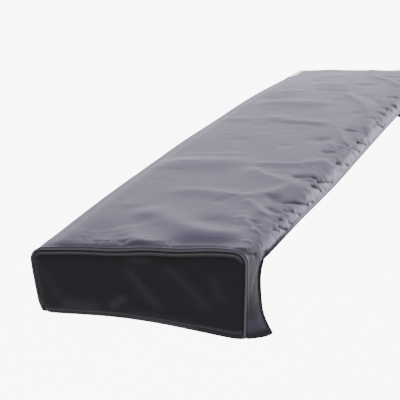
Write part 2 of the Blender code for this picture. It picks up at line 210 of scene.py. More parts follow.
MAIN_FOLDS = (
    # the near third of the top, from its roll towards the end seam
    Fold(((246, -150), (250, -60), (251, 10), (248, 48)), 34, 44, 4.6),
    Fold(((249, 18), (249, 60), (246, 92), (232, 112), (210, 132), (184, 148)), 11, 20, 2.6, 0.3),
    Fold(((266, 26), (289, 46), (316, 68), (334, 88), (347, 106), (349, 122), (340, 136),
          (320, 149)), 10, 28, 3.2, 0.5),
    Fold(((322, 106), (312, 122), (299, 136), (290, 147)), 8, 6, -3.0, 0.2),
    Fold(((330, 126), (323, 134), (314, 144)), 4, 4, -1.4, 0.3),
    Fold(((354, 112), (350, 122), (344, 132)), 4, 5, -1.2),
    Fold(((408, -60), (416, -10), (426, 36), (436, 70), (422, 94), (398, 114), (368, 130),
          (340, 143)), 15, 26, 2.8, 0.2),
    Fold(((482, 38), (458, 50), (432, 66)), 9, 9, -0.8),
    Fold(((420, 104), (436, 114), (452, 124), (462, 133)), 13, 8, -3.2),
    Fold(((450, 78), (464, 90), (488, 106), (512, 124), (518, 141)), 8, 12, 2.4, 0.6),
    Fold(((483, 117), (490, 131), (497, 145)), 7, 6, -2.2, 0.2),
    Fold(((526, 96), (552, 112), (578, 131), (594, 143)), 6, 8, 1.9, 0.6),
    Fold(((545, 111), (553, 123), (562, 135)), 7, 5, -2.0),
    Fold(((563, 127), (576, 135), (588, 142)), 5, 4, -1.8, 0.2),
    Fold(((540, 26), (553, 54), (566, 80), (584, 105), (596, 126)), 24, 26, -2.6),
    Fold(((494, -62), (540, -20), (570, 14), (598, 50), (612, 88), (614, 110),
          (602, 134)), 27, 22, 3.6),
    Fold(((655, 20), (648, 44), (645, 76), (648, 112), (655, 142)), 25, 8, -6.4, 0.2),
    Fold(((660, -160), (660, -80), (662, -4)), 90, 14, -3.6),
    Fold(((590, -34), (556, -26), (536, -16)), 16, 14, -0.9),
    Fold(((470, -110), (486, -84), (496, -50)), 18, 12, 0.9),
    # short puckers beside the near end seam
    Fold(((628, -146), (650, -138), (670, -132)), 6, 5, 0.8, 0.4),
    Fold(((622, -132), (648, -120), (670, -112)), 6, 5, 1.1, 0.4),
    Fold(((592, -120), (630, -100), (652, -80), (670, -70)), 8, 6, 1.7, 0.5),
    Fold(((600, -90), (634, -73), (670, -54)), 7, 5, 1.4, 0.5),
    Fold(((592, -68), (632, -55), (670, -42)), 7, 5, 1.3, 0.4),
    Fold(((620, -38), (648, -33), (670, -28)), 5, 5, -1.5),
    Fold(((578, -52), (628, -26), (648, -5), (664, 12)), 12, 12, 2.4, 0.4),
    Fold(((640, 6), (656, 14), (670, 20)), 5, 5, 1.0, 0.3),
    Fold(((671, -97), (658, -104), (648, -110)), 3.4, 3.4, -2.2, 0.3),
    Fold(((671, -64), (656, -73), (642, -84), (626, -96)), 3.4, 3.4, -2.4, 0.3),
    Fold(((671, -51), (657, -58), (643, -67)), 3.0, 3.0, -2.2, 0.3),
    Fold(((671, -40), (656, -46), (643, -53)), 3.0, 3.0, -2.2, 0.3),
    Fold(((671, -20), (656, -25), (641, -29)), 4.0, 4.0, -3.2, 0.3),
    Fold(((671, -8), (660, -6), (651, -10)), 6, 5, -2.2, 0.2),
    Fold(((671, 33), (658, 28), (647, 24)), 4.4, 4.4, -2.4, 0.3),
    Fold(((671, 46), (660, 42), (648, 40)), 3.6, 3.6, -1.8, 0.3),
    # the back corner of the near end, where the top, tab and skirt meet
    Fold(((670, 120), (664, 133), (653, 143), (634, 149), (612, 154)), 4.4, 4.0, 1.1, 0.2),
    Fold(((671, 130), (664, 141), (652, 149), (634, 154), (610, 160), (586, 167)), 4, 4, -1.5),
    Fold(((671, 142), (662, 150), (648, 155), (630, 159)), 3.8, 3.8, -0.9),
    Fold(((644, 154), (634, 161), (622, 170)), 4.2, 4.2, -0.9),
    Fold(((636, 128), (629, 137), (630, 146)), 4, 4, 0.9, 0.3),
    # the middle of the top
    Fold(((-88, -150), (-86, -100), (-79, -52)), 14, 20, 1.8),
    Fold(((-112, -56), (-78, -18), (-60, 14), (-52, 44), (-45, 70), (-33, 90)), 24, 16, 3.0),
    Fold(((-50, 84), (-30, 98), (0, 107), (30, 119), (62, 133), (86, 144)), 8, 10, 1.9, 0.5),
    Fold(((-3, 110), (-12, 125), (-25, 142)), 9, 7, -2.6, 0.2),
    Fold(((64, 68), (71, 94), (74, 126)), 22, 20, -2.6),
    Fold(((160, 112), (149, 125), (132, 138)), 8, 6, -2.4, 0.2),
    Fold(((113, 126), (108, 134), (103, 143)), 6, 5, -1.7, 0.2),
    Fold(((86, 112), (104, 124), (122, 138)), 6, 7, 1.1, 0.4),
    Fold(((84, -68), (86, -40), (88, -12)), 14, 14, -1.1),
    Fold(((190, -110), (192, -56), (188, 4)), 10, 14, 1.1),
    Fold(((114, 30), (126, 46), (138, 62)), 14, 12, -1.1),
    Fold(((-30, -60), (-26, -34), (-18, -12)), 16, 14, -0.8),
    Fold(((20, -12), (60, 2), (110, 20), (150, 46)), 10, 16, 0.8),
    Fold(((-22, 16), (-14, 40), (-6, 64)), 14, 10, 1.0),
    Fold(((-152, 86), (-146, 110), (-142, 130)), 18, 13, -1.4),
    Fold(((-348, 40), (-300, 62), (-255, 89), (-214, 108), (-160, 125), (-100, 137), (-30, 149)),
         14, 10, 2.4, 0.3),
    Fold(((-236, -120), (-232, -50), (-227, 4), (-220, 56)), 26, 34, 3.4),
    Fold(((-190, -70), (-182, -60), (-170, -48)), 8, 8, 0.8),
    # the far third of the top
    Fold(((-668, 22), (-612, 37), (-560, 52), (-527, 68), (-504, 90), (-470, 112), (-424, 134)),
         22, 9, 2.6, 0.3),
    Fold(((-640, 74), (-580, 92), (-520, 112), (-470, 140)), 16, 10, 1.2, 0.3),
    Fold(((-474, -56), (-447, -15), (-432, 15), (-424, 46)), 12, 28, 2.0),
    Fold(((-448, 26), (-439, 60), (-432, 100)), 12, 18, -1.4),
    Fold(((-512, -52), (-494, -46), (-474, -30)), 10, 10, -0.9),
    Fold(((-384, -30), (-367, 5), (-358, 34), (-344, 56)), 17, 15, -1.6),
    Fold(((-336, 76), (-300, 96), (-270, 116), (-234, 136)), 12, 9, -1.4),
    Fold(((-364, -120), (-360, -64), (-348, -22)), 14, 36, 2.0),
    Fold(((-294, -130), (-283, -80), (-274, -34)), 22, 18, -1.3),
    Fold(((-270, 28), (-263, 46), (-256, 64)), 12, 10, -1.1),
    Fold(((-580, -90), (-566, -40), (-560, 20)), 26, 26, 1.6),
    Fold(((-560, 60), (-540, 96), (-536, 140)), 12, 9, -1.6),
    Fold(((-640, 110), (-610, 134), (-590, 160)), 8, 7, 1.6, 0.4),
    # the near corner tab
    Fold(((626, 166), (640, 177), (652, 187), (665, 202)), 3.5, 6, 2.0, 0.3),
    Fold(((620, 184), (630, 193), (645, 208), (657, 218), (666, 234)), 3.5, 6, 2.2, 0.3),
    Fold(((626, 206), (638, 217), (650, 230), (657, 242)), 3, 5, 1.5, 0.3),
    Fold(((634, 182), (646, 192), (658, 206)), 4, 4, -1.2),
    Fold(((630, 204), (640, 212), (652, 226)), 4, 4, -1.0),
    # the far corner tab
    Fold(((-640, 170), (-648, 200), (-650, 232)), 7, 9, 1.8),
    Fold(((-668, 164), (-664, 190), (-660, 226)), 6, 6, 1.2, 0.3),
    # the front wall
    Fold(((-402, -222), (-396, -180), (-400, -150)), 30, 22, 1.6),
    Fold(((118, -230), (126, -186), (122, -152)), 26, 30, 1.4),
    Fold(((478, -228), (470, -190), (474, -150)), 20, 22, 1.2),
    Fold(((-148, -226), (-140, -190), (-150, -150)), 20, 24, -1.2),
)

BEND_FOLDS = (
    # creases that the tight hem pulls over the back edge, leaning towards the far end
    Fold(((456, 131), (430, 143), (404, 153), (372, 164)), 4.6, 3.6, -2.3, 0.3),
    Fold(((338, 143), (316, 154), (294, 165)), 3.4, 3.0, -2.0, 0.3),
    Fold(((306, 147), (266, 157), (224, 168)), 3.0, 2.8, -1.6, 0.3),
    Fold(((301, 155), (286, 162), (269, 169)), 2.6, 2.6, -1.1, 0.3),
    Fold(((382, 155), (364, 161), (345, 168)), 3.2, 2.8, -1.8, 0.3),
    Fold(((352, 157), (339, 163), (324, 169)), 2.6, 2.6, -1.0, 0.3),
    Fold(((443, 155), (432, 160), (420, 166)), 3.0, 2.8, -1.6, 0.3),
    Fold(((486, 155), (475, 161), (463, 167)), 3.0, 2.8, -1.7, 0.3),
    Fold(((530, 150), (512, 158), (490, 166)), 3.4, 3.0, -2.1, 0.3),
    Fold(((553, 147), (543, 151), (528, 157)), 3.2, 3.0, -1.6, 0.3),
    Fold(((480, 141), (466, 147), (448, 154)), 3.2, 3.0, -1.3, 0.3),
    Fold(((536, 140), (520, 145), (500, 149)), 3.0, 3.0, -1.0, 0.3),
    Fold(((566, 152), (554, 159), (540, 167)), 2.8, 2.8, -0.9, 0.3),
    Fold(((36, 147), (10, 155), (-18, 164)), 3.4, 3.0, -1.9, 0.3),
    Fold(((80, 146), (56, 156), (32, 165)), 3.2, 3.0, -1.6, 0.3),
    Fold(((158, 152), (138, 160), (116, 168)), 3.0, 3.0, -1.8, 0.3),
    Fold(((184, 147), (172, 151), (158, 156)), 3.6, 3.2, -1.4, 0.3),
    Fold(((182, 159), (166, 164), (148, 170)), 2.6, 2.6, -0.9, 0.3),
    Fold(((112, 158), (100, 166), (88, 174)), 2.6, 2.6, -0.8, 0.3),
    Fold(((-110, 147), (-136, 156), (-164, 166)), 3.4, 3.0, -1.8, 0.3),
    Fold(((-146, 153), (-162, 158), (-180, 164)), 2.8, 2.8, -1.0, 0.3),
    Fold(((-14, 157), (-26, 161), (-40, 166)), 2.8, 2.8, -1.3, 0.3),
    Fold(((-110, 133), (-126, 139), (-140, 144)), 3.6, 3.4, -1.3, 0.3),
    Fold(((-178, 137), (-190, 144), (-206, 152)), 3.8, 3.6, -1.3, 0.2),
    Fold(((-224, 129), (-232, 139), (-244, 151)), 4.5, 4.0, -1.3, 0.2),
    Fold(((-264, 143), (-282, 149), (-300, 155)), 3.8, 3.4, -1.6, 0.3),
    Fold(((-318, 127), (-334, 137), (-352, 146)), 5.5, 4.5, -1.7, 0.2),
    Fold(((-388, 142), (-410, 153), (-436, 165)), 3.8, 3.4, -1.7, 0.3),
    Fold(((-452, 136), (-470, 147), (-492, 160)), 4.5, 4.0, -1.7, 0.3),
    Fold(((-520, 147), (-538, 156), (-560, 166)), 3.8, 3.4, -1.6, 0.3),
    Fold(((-572, 139), (-588, 151), (-606, 165)), 3.8, 3.4, -1.4, 0.3),
    # the line where the cloth turns over the back edge
    Fold(((-210, 147), (-120, 148), (-30, 148), (60, 148), (150, 148), (240, 147)), 2.4, 2.6, -0.5),
    Fold(((262, 148), (330, 147), (372, 148)), 2.4, 2.6, -0.35),
)

END_FOLDS = (
    Fold(((-116, 20), (-76, 21), (-36, 21)), 14, 9, 1.6),
    Fold(((-40, 20), (-30, 27), (-19, 38), (-3, 40)), 9, 8, 1.8, 0.2),
    Fold(((-16, 17), (22, 16), (60, 14), (96, 13)), 12, 8, 1.6),
    Fold(((-14, 88), (4, 66), (26, 42), (44, 28)), 10, 7, 1.3, 0.2),
    Fold(((-24, 98), (2, 98), (32, 102)), 14, 9, 1.5),
    Fold(((36, 96), (66, 74), (92, 50), (108, 28)), 12, 8, 1.1, 0.2),
    Fold(((96, 96), (112, 70), (124, 40)), 12, 8, 1.0, 0.2),
    Fold(((-130, 74), (-118, 48), (-104, 24)), 10, 8, 0.7),
)

PANEL_TURN = (
    TurnStep(0.3, -2.1),
    TurnStep(1.0, -1.85),
    TurnStep(1.5, -1.45),
    TurnStep(2.1, -0.9),
    TurnStep(2.6, -0.2),
    TurnStep(3.2, 0.6),
    TurnStep(4.0, 1.3),
    TurnStep(5.2, 2.1),
    TurnStep(7.5, 3.0),
    TurnStep(12.0, 3.6),
    TurnStep(20.0, 3.9),
    TurnStep(30.0, 3.9),
)

# the shape of every fold, in widths of its flank
FLANK_FADE = (2.0, 3.0)
FLANK_STEEPNESS = 1.6
CREST_BLUNTNESS = 0.2
LINE_TAPER = 1.7


def through(stations: Sequence[float], values: Sequence[float], at: np.ndarray) -> np.ndarray:
    """A smooth line through a table's values, read at other stations.

    Args:
        stations: The table's stations, rising.
        values: The value at each station.
        at: Where to read the line.

    Returns:
        The line's value at each of those places.
    """
    stations, values, at = (np.asarray(a, float) for a in (stations, values, at))
    slopes = np.gradient(values, stations)
    k = np.clip(np.searchsorted(stations, at) - 1, 0, len(stations) - 2)
    step = stations[k + 1] - stations[k]
    f = np.clip((at - stations[k]) / step, 0, 1)
    return (
        values[k] * (1 + 2 * f) * (1 - f) ** 2
        + slopes[k] * step * f * (1 - f) ** 2
        + values[k + 1] * f * f * (3 - 2 * f)
        + slopes[k + 1] * step * f * f * (f - 1)
    )


def ramp(value: np.ndarray, low: float, high: float) -> np.ndarray:
    """0 below low, 1 above high, smooth between."""
    f = np.clip((value - low) / (high - low), 0, 1)
    return f * f * (3 - 2 * f)


def smooth_line(line: Sequence[tuple[float, float]], spans: int = 6) -> np.ndarray:
    """Draws a smooth curve through a line's points.

    Args:
        line: The points.
        spans: How many straight runs the curve has from one point to the next.

    Returns:
        The curve's own points.
    """
    line = np.asarray(line, float)
    numbers = np.arange(len(line))
    steps = np.linspace(0, len(line) - 1, spans * (len(line) - 1) + 1)
    return np.stack([through(numbers, line[:, k], steps) for k in (0, 1)], axis=-1)


def walk(points: np.ndarray) -> np.ndarray:
    """How far along a line of straight runs each of its points is."""
    return np.concatenate([[0], np.cumsum(np.hypot(*np.diff(points, axis=0).T))])


def beside_line(at: np.ndarray, points: np.ndarray) -> tuple[np.ndarray, np.ndarray, float]:
    """Measures places against a line of straight runs.

    Args:
        at: The places.
        points: The line's points.

    Returns:
        How far along the line each place is, how far beside it, with the sign of its side, and
        the line's length.
    """
    start, run = points[:-1], np.diff(points, axis=0)
    length = np.hypot(*run.T)
    walked = walk(points)
    offset = at[:, None] - start
    share = np.clip((offset * run).sum(axis=-1) / length**2, 0, 1)
    away = offset - share[..., None] * run
    nearest = (away**2).sum(axis=-1).argmin(axis=1)
    rows = np.arange(len(at))
    away, run = away[rows, nearest], run[nearest]
    along = walked[nearest] + share[rows, nearest] * length[nearest]
    side = np.where(away[:, 0] * run[:, 1] > away[:, 1] * run[:, 0], 1, -1)
    return along, side * np.hypot(*away.T), float(walked[-1])


def fold_height(x: np.ndarray, w: np.ndarray, fold: Fold) -> np.ndarray:
    """The height of one fold over a cloth.

    Args:
        x: Where along the cloth.
        w: Where across the cloth.
        fold: The fold's line, widths and height.

    Returns:
        A ridge along the fold's line, tapered to nothing at its two ends.
    """
    points = smooth_line(fold.line) * MM
    wide = max(fold.far, fold.near) * MM
    reach = FLANK_FADE[1] * wide
    low, high = points.min(axis=0) - reach, points.max(axis=0) + reach
    inside = (x > low[0]) & (x < high[0]) & (w > low[1]) & (w < high[1])
    height = np.zeros(np.broadcast(x, w).shape)
    if not inside.any():
        return height
    along, beside, length = beside_line(np.stack([x[inside], w[inside]], axis=-1), points)
    across = np.abs(beside) / (np.where(beside > 0, fold.near, fold.far) * MM)
    hollow = np.exp(-FLANK_STEEPNESS * (np.hypot(across, CREST_BLUNTNESS) - CREST_BLUNTNESS))
    crest = (1 - fold.sharp) * np.exp(-(across**2)) + fold.sharp * hollow
    taper = min(length / 2, LINE_TAPER * wide)
    crest = crest * ramp(np.minimum(along, length - along), 0, taper)
    height[inside] = fold.height * MM * crest * (1 - ramp(across, *FLANK_FADE))
    return height


@dataclass(frozen=True)
class Gathers:
    """The faint creases between the strong ones over the back edge, in millimetres."""

    seed: int = 7
    reach: float = 585.0
    step: tuple[float, float] = (7.0, 20.0)
    top: tuple[float, float] = (138, 154)
    run: tuple[float, float] = (9, 20)
    lean: tuple[float, float] = (1.2, 2.5)
    height: tuple[float, float] = (0.25, 0.75)
    ridges: float = 0.35
    far: tuple[float, float] = (2.6, 4.5)
    near: tuple[float, float] = (2.4, 4.0)
    sharp: float = 0.3

    def draw(self) -> list[Fold]:
        """Draws them one after another, from the far end to the near one.

        Returns:
            The creases, more of them troughs than ridges.
        """
        dice = random.Random(self.seed)
        rows: list[Fold] = []
        x = -self.reach
        while x < self.reach:
            top, run, lean = (dice.uniform(*span) for span in (self.top, self.run, self.lean))
            line = ((x, top), (x - lean * run / 2, top + run / 2), (x - lean * run, top + run))
            height = dice.uniform(*self.height) * (1 if dice.random() < self.ridges else -1)
            far, near = dice.uniform(*self.far), dice.uniform(*self.near)
            rows.append(Fold(line, far, near, height, self.sharp))
            x += dice.uniform(*self.step)
        return rows


@dataclass(frozen=True)
class Creases:
    """Faint, short creases all over the top, as thin coated cloth keeps them, in millimetres."""

    seed: int = 41
    count: int = 170
    x: tuple[float, float] = (-650, 655)
    w: tuple[float, float] = (-128, 150)
    length: tuple[float, float] = (16, 60)
    lean: float = 0.35
    lean_spread: float = 0.7
    bow: tuple[float, float] = (-0.15, 0.15)
    height: tuple[float, float] = (-0.40, 0.45)
    flank: tuple[float, float] = (3, 8)
    sharp: float = 0.4

    def draw(self) -> list[Fold]:
        """Draws them in no order.

        Returns:
            The creases, about as many of them ridges as troughs.
        """
        dice = random.Random(self.seed)
        rows: list[Fold] = []
        for _ in range(self.count):
            x, w, length = (dice.uniform(*span) for span in (self.x, self.w, self.length))
            lean = dice.gauss(self.lean, self.lean_spread)
            half_w = length / math.hypot(1, lean) / 2
            half_x = half_w * lean
            bow = dice.uniform(*self.bow) * length
            line = ((x - half_x, w - half_w), (x + bow, w), (x + half_x, w + half_w))
            height = dice.uniform(*self.height)
            far, near = dice.uniform(*self.flank), dice.uniform(*self.flank)
            rows.append(Fold(line, far, near, height, self.sharp))
        return rows


@dataclass
class CoverForm:
    """The form of the whole cover: its sizes, and the surface that its cloth follows."""

    length: float = 1.350
    depth: float = 0.300
    front_height: float = 0.0900
    back_height: float = 0.1165
    front_round: float = 0.016
    back_round: float = 0.017
    cloth: float = 0.0012
    piping_radius: float = 0.0019
    seam_gap: float = 0.0006
    front_lean: float = 0.013
    front_lean_curve: float = 1.15
    swell_lost: float = 0.6
    front_tuck: float = 0.005
    front_tuck_height: float = 0.019
    back_lean: float = 0.0005
    hem_tuck: float = 0.0005
    tuck_start: tuple[float, float] = (0.070, 0.100)
    flare: float = 0.0275
    flare_reach: float = 0.015
    flare_top: float = 0.085
    flare_curve: float = 2.5
    fan_width: float = 0.135
    tab_tip: float = 0.036
    ripple_reach: float = 0.045
    front_calm: float = 0.85
    front_calm_reach: float = 0.022
    seam_calm: tuple[float, float] = (0.0025, 0.0075)
    roll_blend: tuple[float, float] = (0.005, 0.020)
    label_x: float = -0.620
    label_w: float = -0.1325
    label_length: float = 0.094
    label_width: float = 0.018
    label_calm: tuple[float, float] = (0.004, 0.030)
    hem_calm: float = 0.75
    hem_calm_reach: tuple[float, float] = (-0.012, -0.001)
    past_hem: float = 1.2
    swell_curve: float = 1.5
    small: float = 0.0005
    seam_steps: int = 900
    half_length: float = field(init=False)
    main_edge: float = field(init=False)
    front_bend: float = field(init=False)
    back_bend: float = field(init=False)
    front_wall: float = field(init=False)
    back_wall: float = field(init=False)
    front_wall_top: float = field(init=False)
    back_wall_top: float = field(init=False)
    rest_height: float = field(init=False)
    folds: list[Fold] = field(init=False)

    def __post_init__(self) -> None:
        """Works out the places that follow from the sizes."""
        self.half_length = self.length / 2
        self.main_edge = self.half_length - self.piping_radius - self.seam_gap
        self.front_bend = -self.depth / 2 + self.front_round
        self.back_bend = self.depth / 2 - self.back_round
        self.front_wall = self.front_bend - self.front_round * math.pi / 2
        self.back_wall = self.back_bend + self.back_round * math.pi / 2
        self.front_wall_top = self.front_height - self.front_round
        self.back_wall_top = self.back_height - self.back_round
        self.folds = [*MAIN_FOLDS, *BEND_FOLDS, *Gathers().draw(), *Creases().draw()]
        middle = self.plain(np.array(0.0), np.array(0.0))
        self.rest_height = float(middle[2]) - self.cloth / 2

    def section(self, name: str, x: np.ndarray) -> np.ndarray:
        """One column of the table of sections, in metres, at any x."""
        stations = [row.x * MM for row in SECTIONS]
        return through(stations, [getattr(row, name) * MM for row in SECTIONS], x)

    def over_top(self, x: np.ndarray, w: np.ndarray) -> tuple[np.ndarray, np.ndarray]:
        """The plain top, which keeps its edge's place past each bend.

        Args:
            x: Where along the cover.
            w: Where across the cloth.

        Returns:
            The y and the height over the hem at each of those places.
        """
        front_z = self.front_height + self.section("front_rise", x)
        back_z = self.back_height + self.section("back_rise", x)
        f = np.clip((w - self.front_bend) / (self.back_bend - self.front_bend), 0, 1)
        y = self.front_bend + (self.back_bend - self.front_bend) * f
        y = y - self.section("front_swell", x) * (1 - f) ** 2
        z = front_z + (back_z - front_z) * f + self.section("crown", x) * 4 * f * (1 - f)
        fade = np.exp(-np.maximum(0, self.main_edge - np.abs(x)) / self.ripple_reach)
        for row in SEAM_RIPPLES:
            at_end = fade * (np.sign(x) == row.side)
            z = z + row.height * MM * at_end * np.exp(-(((y / MM) - row.y) / row.width) ** 2)
        return y, z

    def down_front(
        self, x: np.ndarray, w: np.ndarray, y: np.ndarray, z: np.ndarray
    ) -> tuple[np.ndarray, np.ndarray]:
        """Turns the plain cloth down over its front bend and along the front wall.

        Args:
            x: Where along the cover.
            w: Where across the cloth.
            y: The cloth's y so far.
            z: Its height so far.

        Returns:
            Its y and height with the front wall.
        """
        turn = np.clip((self.front_bend - w) / self.front_round, 0, math.pi / 2)
        y = y - self.front_round * np.sin(turn)
        z = z - self.front_round * (1 - np.cos(turn))
        fall = np.clip((self.front_wall - w) / self.front_wall_top, 0, 1)
        z = z - fall * (self.front_wall_top + self.section("front_rise", x))
        y = y + self.front_lean * fall**self.front_lean_curve
        y = y + self.section("front_swell", x) * self.swell_lost * fall
        y = y + self.front_tuck * np.clip(1 - z / self.front_tuck_height, 0, 1) ** 2 * (fall > 0)
        return y, z

    def down_back(
        self, x: np.ndarray, w: np.ndarray, y: np.ndarray, z: np.ndarray
    ) -> tuple[np.ndarray, np.ndarray]:
        """Turns the plain cloth down over its back bend, along the skirt and out to the tabs.

        Args:
            x: Where along the cover.
            w: Where across the cloth.
            y: The cloth's y so far.
            z: Its height so far.

        Returns:
            Its y and height with the skirt and the tabs.
        """
        turn = np.clip((w - self.back_bend) / self.back_round, 0, math.pi / 2)
        y = y + self.back_round * np.sin(turn)
        z = z - self.back_round * (1 - np.cos(turn))
        drop = np.maximum(0, w - self.back_wall)
        z = z - drop * (self.back_wall_top + self.section("back_rise", x)) / self.back_wall_top
        y = y - self.back_lean * (drop / self.back_wall_top) ** 2

        inward = self.main_edge - np.abs(x)
        skirt_drop = self.back_wall_top - self.section("skirt_hem", x)
        skirt = ramp(inward, *self.tuck_start)
        y = y - self.hem_tuck * skirt * np.clip(drop / skirt_drop, 0, self.past_hem) ** 2
        span = self.back_wall + skirt_drop - self.back_bend
        out = np.clip((w - self.back_bend) / span, 0, self.past_hem)
        y = y + self.section("skirt_out", x) * skirt * out**self.swell_curve
        opened = 1 - np.exp(-np.maximum(0, inward) / self.flare_reach)
        low = np.clip(1 - z / self.flare_top, 0, 1) ** self.flare_curve
        return y + self.flare * opened * low * (drop > 0), z

    def plain(self, x: np.ndarray, w: np.ndarray) -> np.ndarray:
        """The main cloth without its folds, its heights measured up from the hem.

        Args:
            x: Where along the cover.
            w: Where across the cloth.

        Returns:
            The point of the cloth at each of those places.
        """
        x, w = np.broadcast_arrays(np.asarray(x, float), np.asarray(w, float))
        y, z = self.over_top(x, w)
        y, z = self.down_front(x, w, y, z)
        y, z = self.down_back(x, w, y, z)
        return np.stack([x, y, z], axis=-1)

    def normal(self, x: np.ndarray, w: np.ndarray) -> np.ndarray:
        """The outward normal of the plain cloth.

        Args:
            x: Where along the cover.
            w: Where across the cloth.

        Returns:
            The normal at each of those places.
        """
        along = self.plain(x + self.small, w) - self.plain(x - self.small, w)
        across = self.plain(x, w + self.small) - self.plain(x, w - self.small)
        normal = np.cross(along, across)
        return normal / np.linalg.norm(normal, axis=-1, keepdims=True)

    def relief(self, x: np.ndarray, w: np.ndarray) -> np.ndarray:
        """How far the folds lift the main cloth off its plain form.

        Args:
            x: Where along the cover.
            w: Where across the cloth.

        Returns:
            The lift of all folds together, calmed at the hems, the seams and the label.
        """
        height = np.zeros(np.broadcast(x, w).shape)
        for fold in self.folds:
            height += fold_height(x, w, fold)
        hem_w = self.back_wall + self.back_wall_top - self.section("skirt_hem", x)
        height = height * (1 - self.hem_calm * ramp(w - hem_w, *self.hem_calm_reach))
        off_bend = (w - self.front_bend) / self.front_calm_reach
        calm = ramp(self.main_edge - np.abs(x), *self.seam_calm)
        calm = calm * (1 - self.front_calm * np.exp(-(off_bend**2)))
        off_label = np.maximum(
            np.abs(x - self.label_x) - self.label_length / 2,
            np.abs(w - self.label_w) - self.label_width / 2,
        )
        return height * calm * ramp(off_label, *self.label_calm)

    def roll(self, x: np.ndarray, w: np.ndarray) -> np.ndarray:
        """How the main cloth is tucked in and rises beside the end seams.

        Args:
            x: Where along the cover.
            w: Where across the cloth.

        Returns:
            The rise off the plain form, which is highest on the top.
        """
        inward = self.main_edge - np.abs(x)
        steps, tops, walls = np.array(SEAM_ROLL).T * MM
        top, wall = through(steps, tops, inward), through(steps, walls, inward)
        out, into = self.roll_blend
        share = ramp(w, self.front_bend - out, self.front_bend + into)
        share = share * (1 - ramp(w, self.back_bend - into, self.back_bend + out))
        return wall + (top - wall) * share

    def surface(self, x: np.ndarray, w: np.ndarray, lift: np.ndarray | float) -> np.ndarray:
        """The cloth with its folds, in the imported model's frame.

        Args:
            x: Where along the cover.
            w: Where across the cloth.
            lift: How far the points stand off the cloth's middle.

        Returns:
            The points.
        """
        height = self.relief(x, w) + self.roll(x, w) + lift
        points = self.plain(x, w) + self.normal(x, w) * np.asarray(height)[..., None]
        points[..., 2] -= self.rest_height
        return points

    def cut_line(self, per_span: int = 24) -> np.ndarray:
        """Draws the tab's hem and the cut-out's edge as one line.

        Args:
            per_span: How many steps the line has from one row of the tables to the next.

        Returns:
            The distance in from the end seam and the height over the hem, point by point.
        """
        hem, cut = (smooth_line(rows, per_span) * MM for rows in (TAB_HEM, CUT_OUT))
        return np.concatenate([hem, cut[1:]])

    def hem_place(self, x: np.ndarray) -> tuple[np.ndarray, np.ndarray]:
        """Where the back cloth that starts down at each x meets its hem.

        Args:
            x: Places along the back edge.

        Returns:
            The distance in from the end seam and the height over the hem, for each x.
        """
        inward = self.main_edge - np.abs(x)
        line = self.cut_line()
        walked = walk(line)
        tip_at = np.hypot(line[:, 0] - self.tab_tip, line[:, 1] - CUT_OUT[0].height * MM)
        tip = walked[np.argmin(tip_at)]
        share = self.tab_tip / self.fan_width
        f = inward / self.fan_width
        reach = np.where(
            f < share, f / share * tip, tip + (f - share) / (1 - share) * (walked[-1] - tip)
        )
        fan_in = np.interp(reach, walked, line[:, 0])
        fan_z = np.interp(reach, walked, line[:, 1])
        fan = inward < self.fan_width
        return np.where(fan, fan_in, inward), np.where(fan, fan_z, self.section("skirt_hem", x))

    def seam_line(
        self, shares: np.ndarray, end: End, inset: float = 0.0
    ) -> tuple[np.ndarray, np.ndarray, float]:
        """An end seam in its own plane, from the front hem over the top to the back hem.

        Args:
            shares: Places along the seam, from 0 to 1.
            end: Which end.
            inset: How far inside the seam the line runs.

        Returns:
            The y and height of each place, and the seam's length.
        """
        front_hem = self.front_wall - self.front_wall_top
        back_hem = self.back_wall + self.back_wall_top
        fine = np.linspace(front_hem, back_hem, self.seam_steps)
        line = self.plain(np.full(len(fine), end.value * self.main_edge), fine)[:, 1:]
        walked = walk(line)
        at = np.asarray(shares) * walked[-1]
        step = self.small
        y, z = np.interp(at, walked, line[:, 0]), np.interp(at, walked, line[:, 1])
        ahead = np.interp(at + step, walked, line[:, 0]) - np.interp(at - step, walked, line[:, 0])
        up = np.interp(at + step, walked, line[:, 1]) - np.interp(at - step, walked, line[:, 1])
        long = np.hypot(ahead, up)
        return y + inset * up / long, z - inset * ahead / long, float(walked[-1])


@dataclass(frozen=True)
class Hem:
    """A turned hem: a band of doubled cloth with a line of stitches pressed into it."""

    width: float = 0.0075
    raised: float = 0.00045
    step: float = 0.0009
    groove_in: float = 0.0010
    groove_depth: float = 0.0005
    groove_width: float = 0.0007
    edge_round: float = 0.0012
    most: float = 0.72

    @property
    def rows(self) -> np.ndarray:
        """Distances from the hem's edge at which the cloth's grid has a row."""
        return np.array([0, 0.25, 0.7, 1.6, 3.2, 4.9, 5.8, 6.4, 7.1, 7.9, 9.0]) * MM

    def shares(self, length: np.ndarray | float, plain_rows: int) -> np.ndarray:
        """The grid rows of a wall that ends in this hem.

        Args:
            length: The wall's length, one for each column of the grid.
            plain_rows: How many rows there are above the hem.

        Returns:
            Shares of the length, from 0 at the wall's top to 1 at the hem's edge.
        """
        length = np.atleast_1d(length)[:, None]
        scale = np.minimum(1, self.most * length / self.rows[-1])
        hem = 1 - self.rows[::-1][None, :] * scale / length
        plain = np.linspace(0, 1, plain_rows + 1)[None, :-1] * hem[:, :1]
        return np.concatenate([plain, hem], axis=1)

    def lift(self, distance: np.ndarray) -> np.ndarray:
        """How far the hem stands proud of single cloth.

        Args:
            distance: Distances from the hem's edge.

        Returns:
            The rise at each distance, negative where the edge rounds off.
        """
        band = self.raised * (1 - ramp(distance, self.width, self.width + self.step))
        groove = (distance - (self.width - self.groove_in)) / self.groove_width
        rounded = self.edge_round * (1 - ramp(distance, 0, self.edge_round)) ** 2
        return band - self.groove_depth * np.exp(-(groove**2)) - rounded


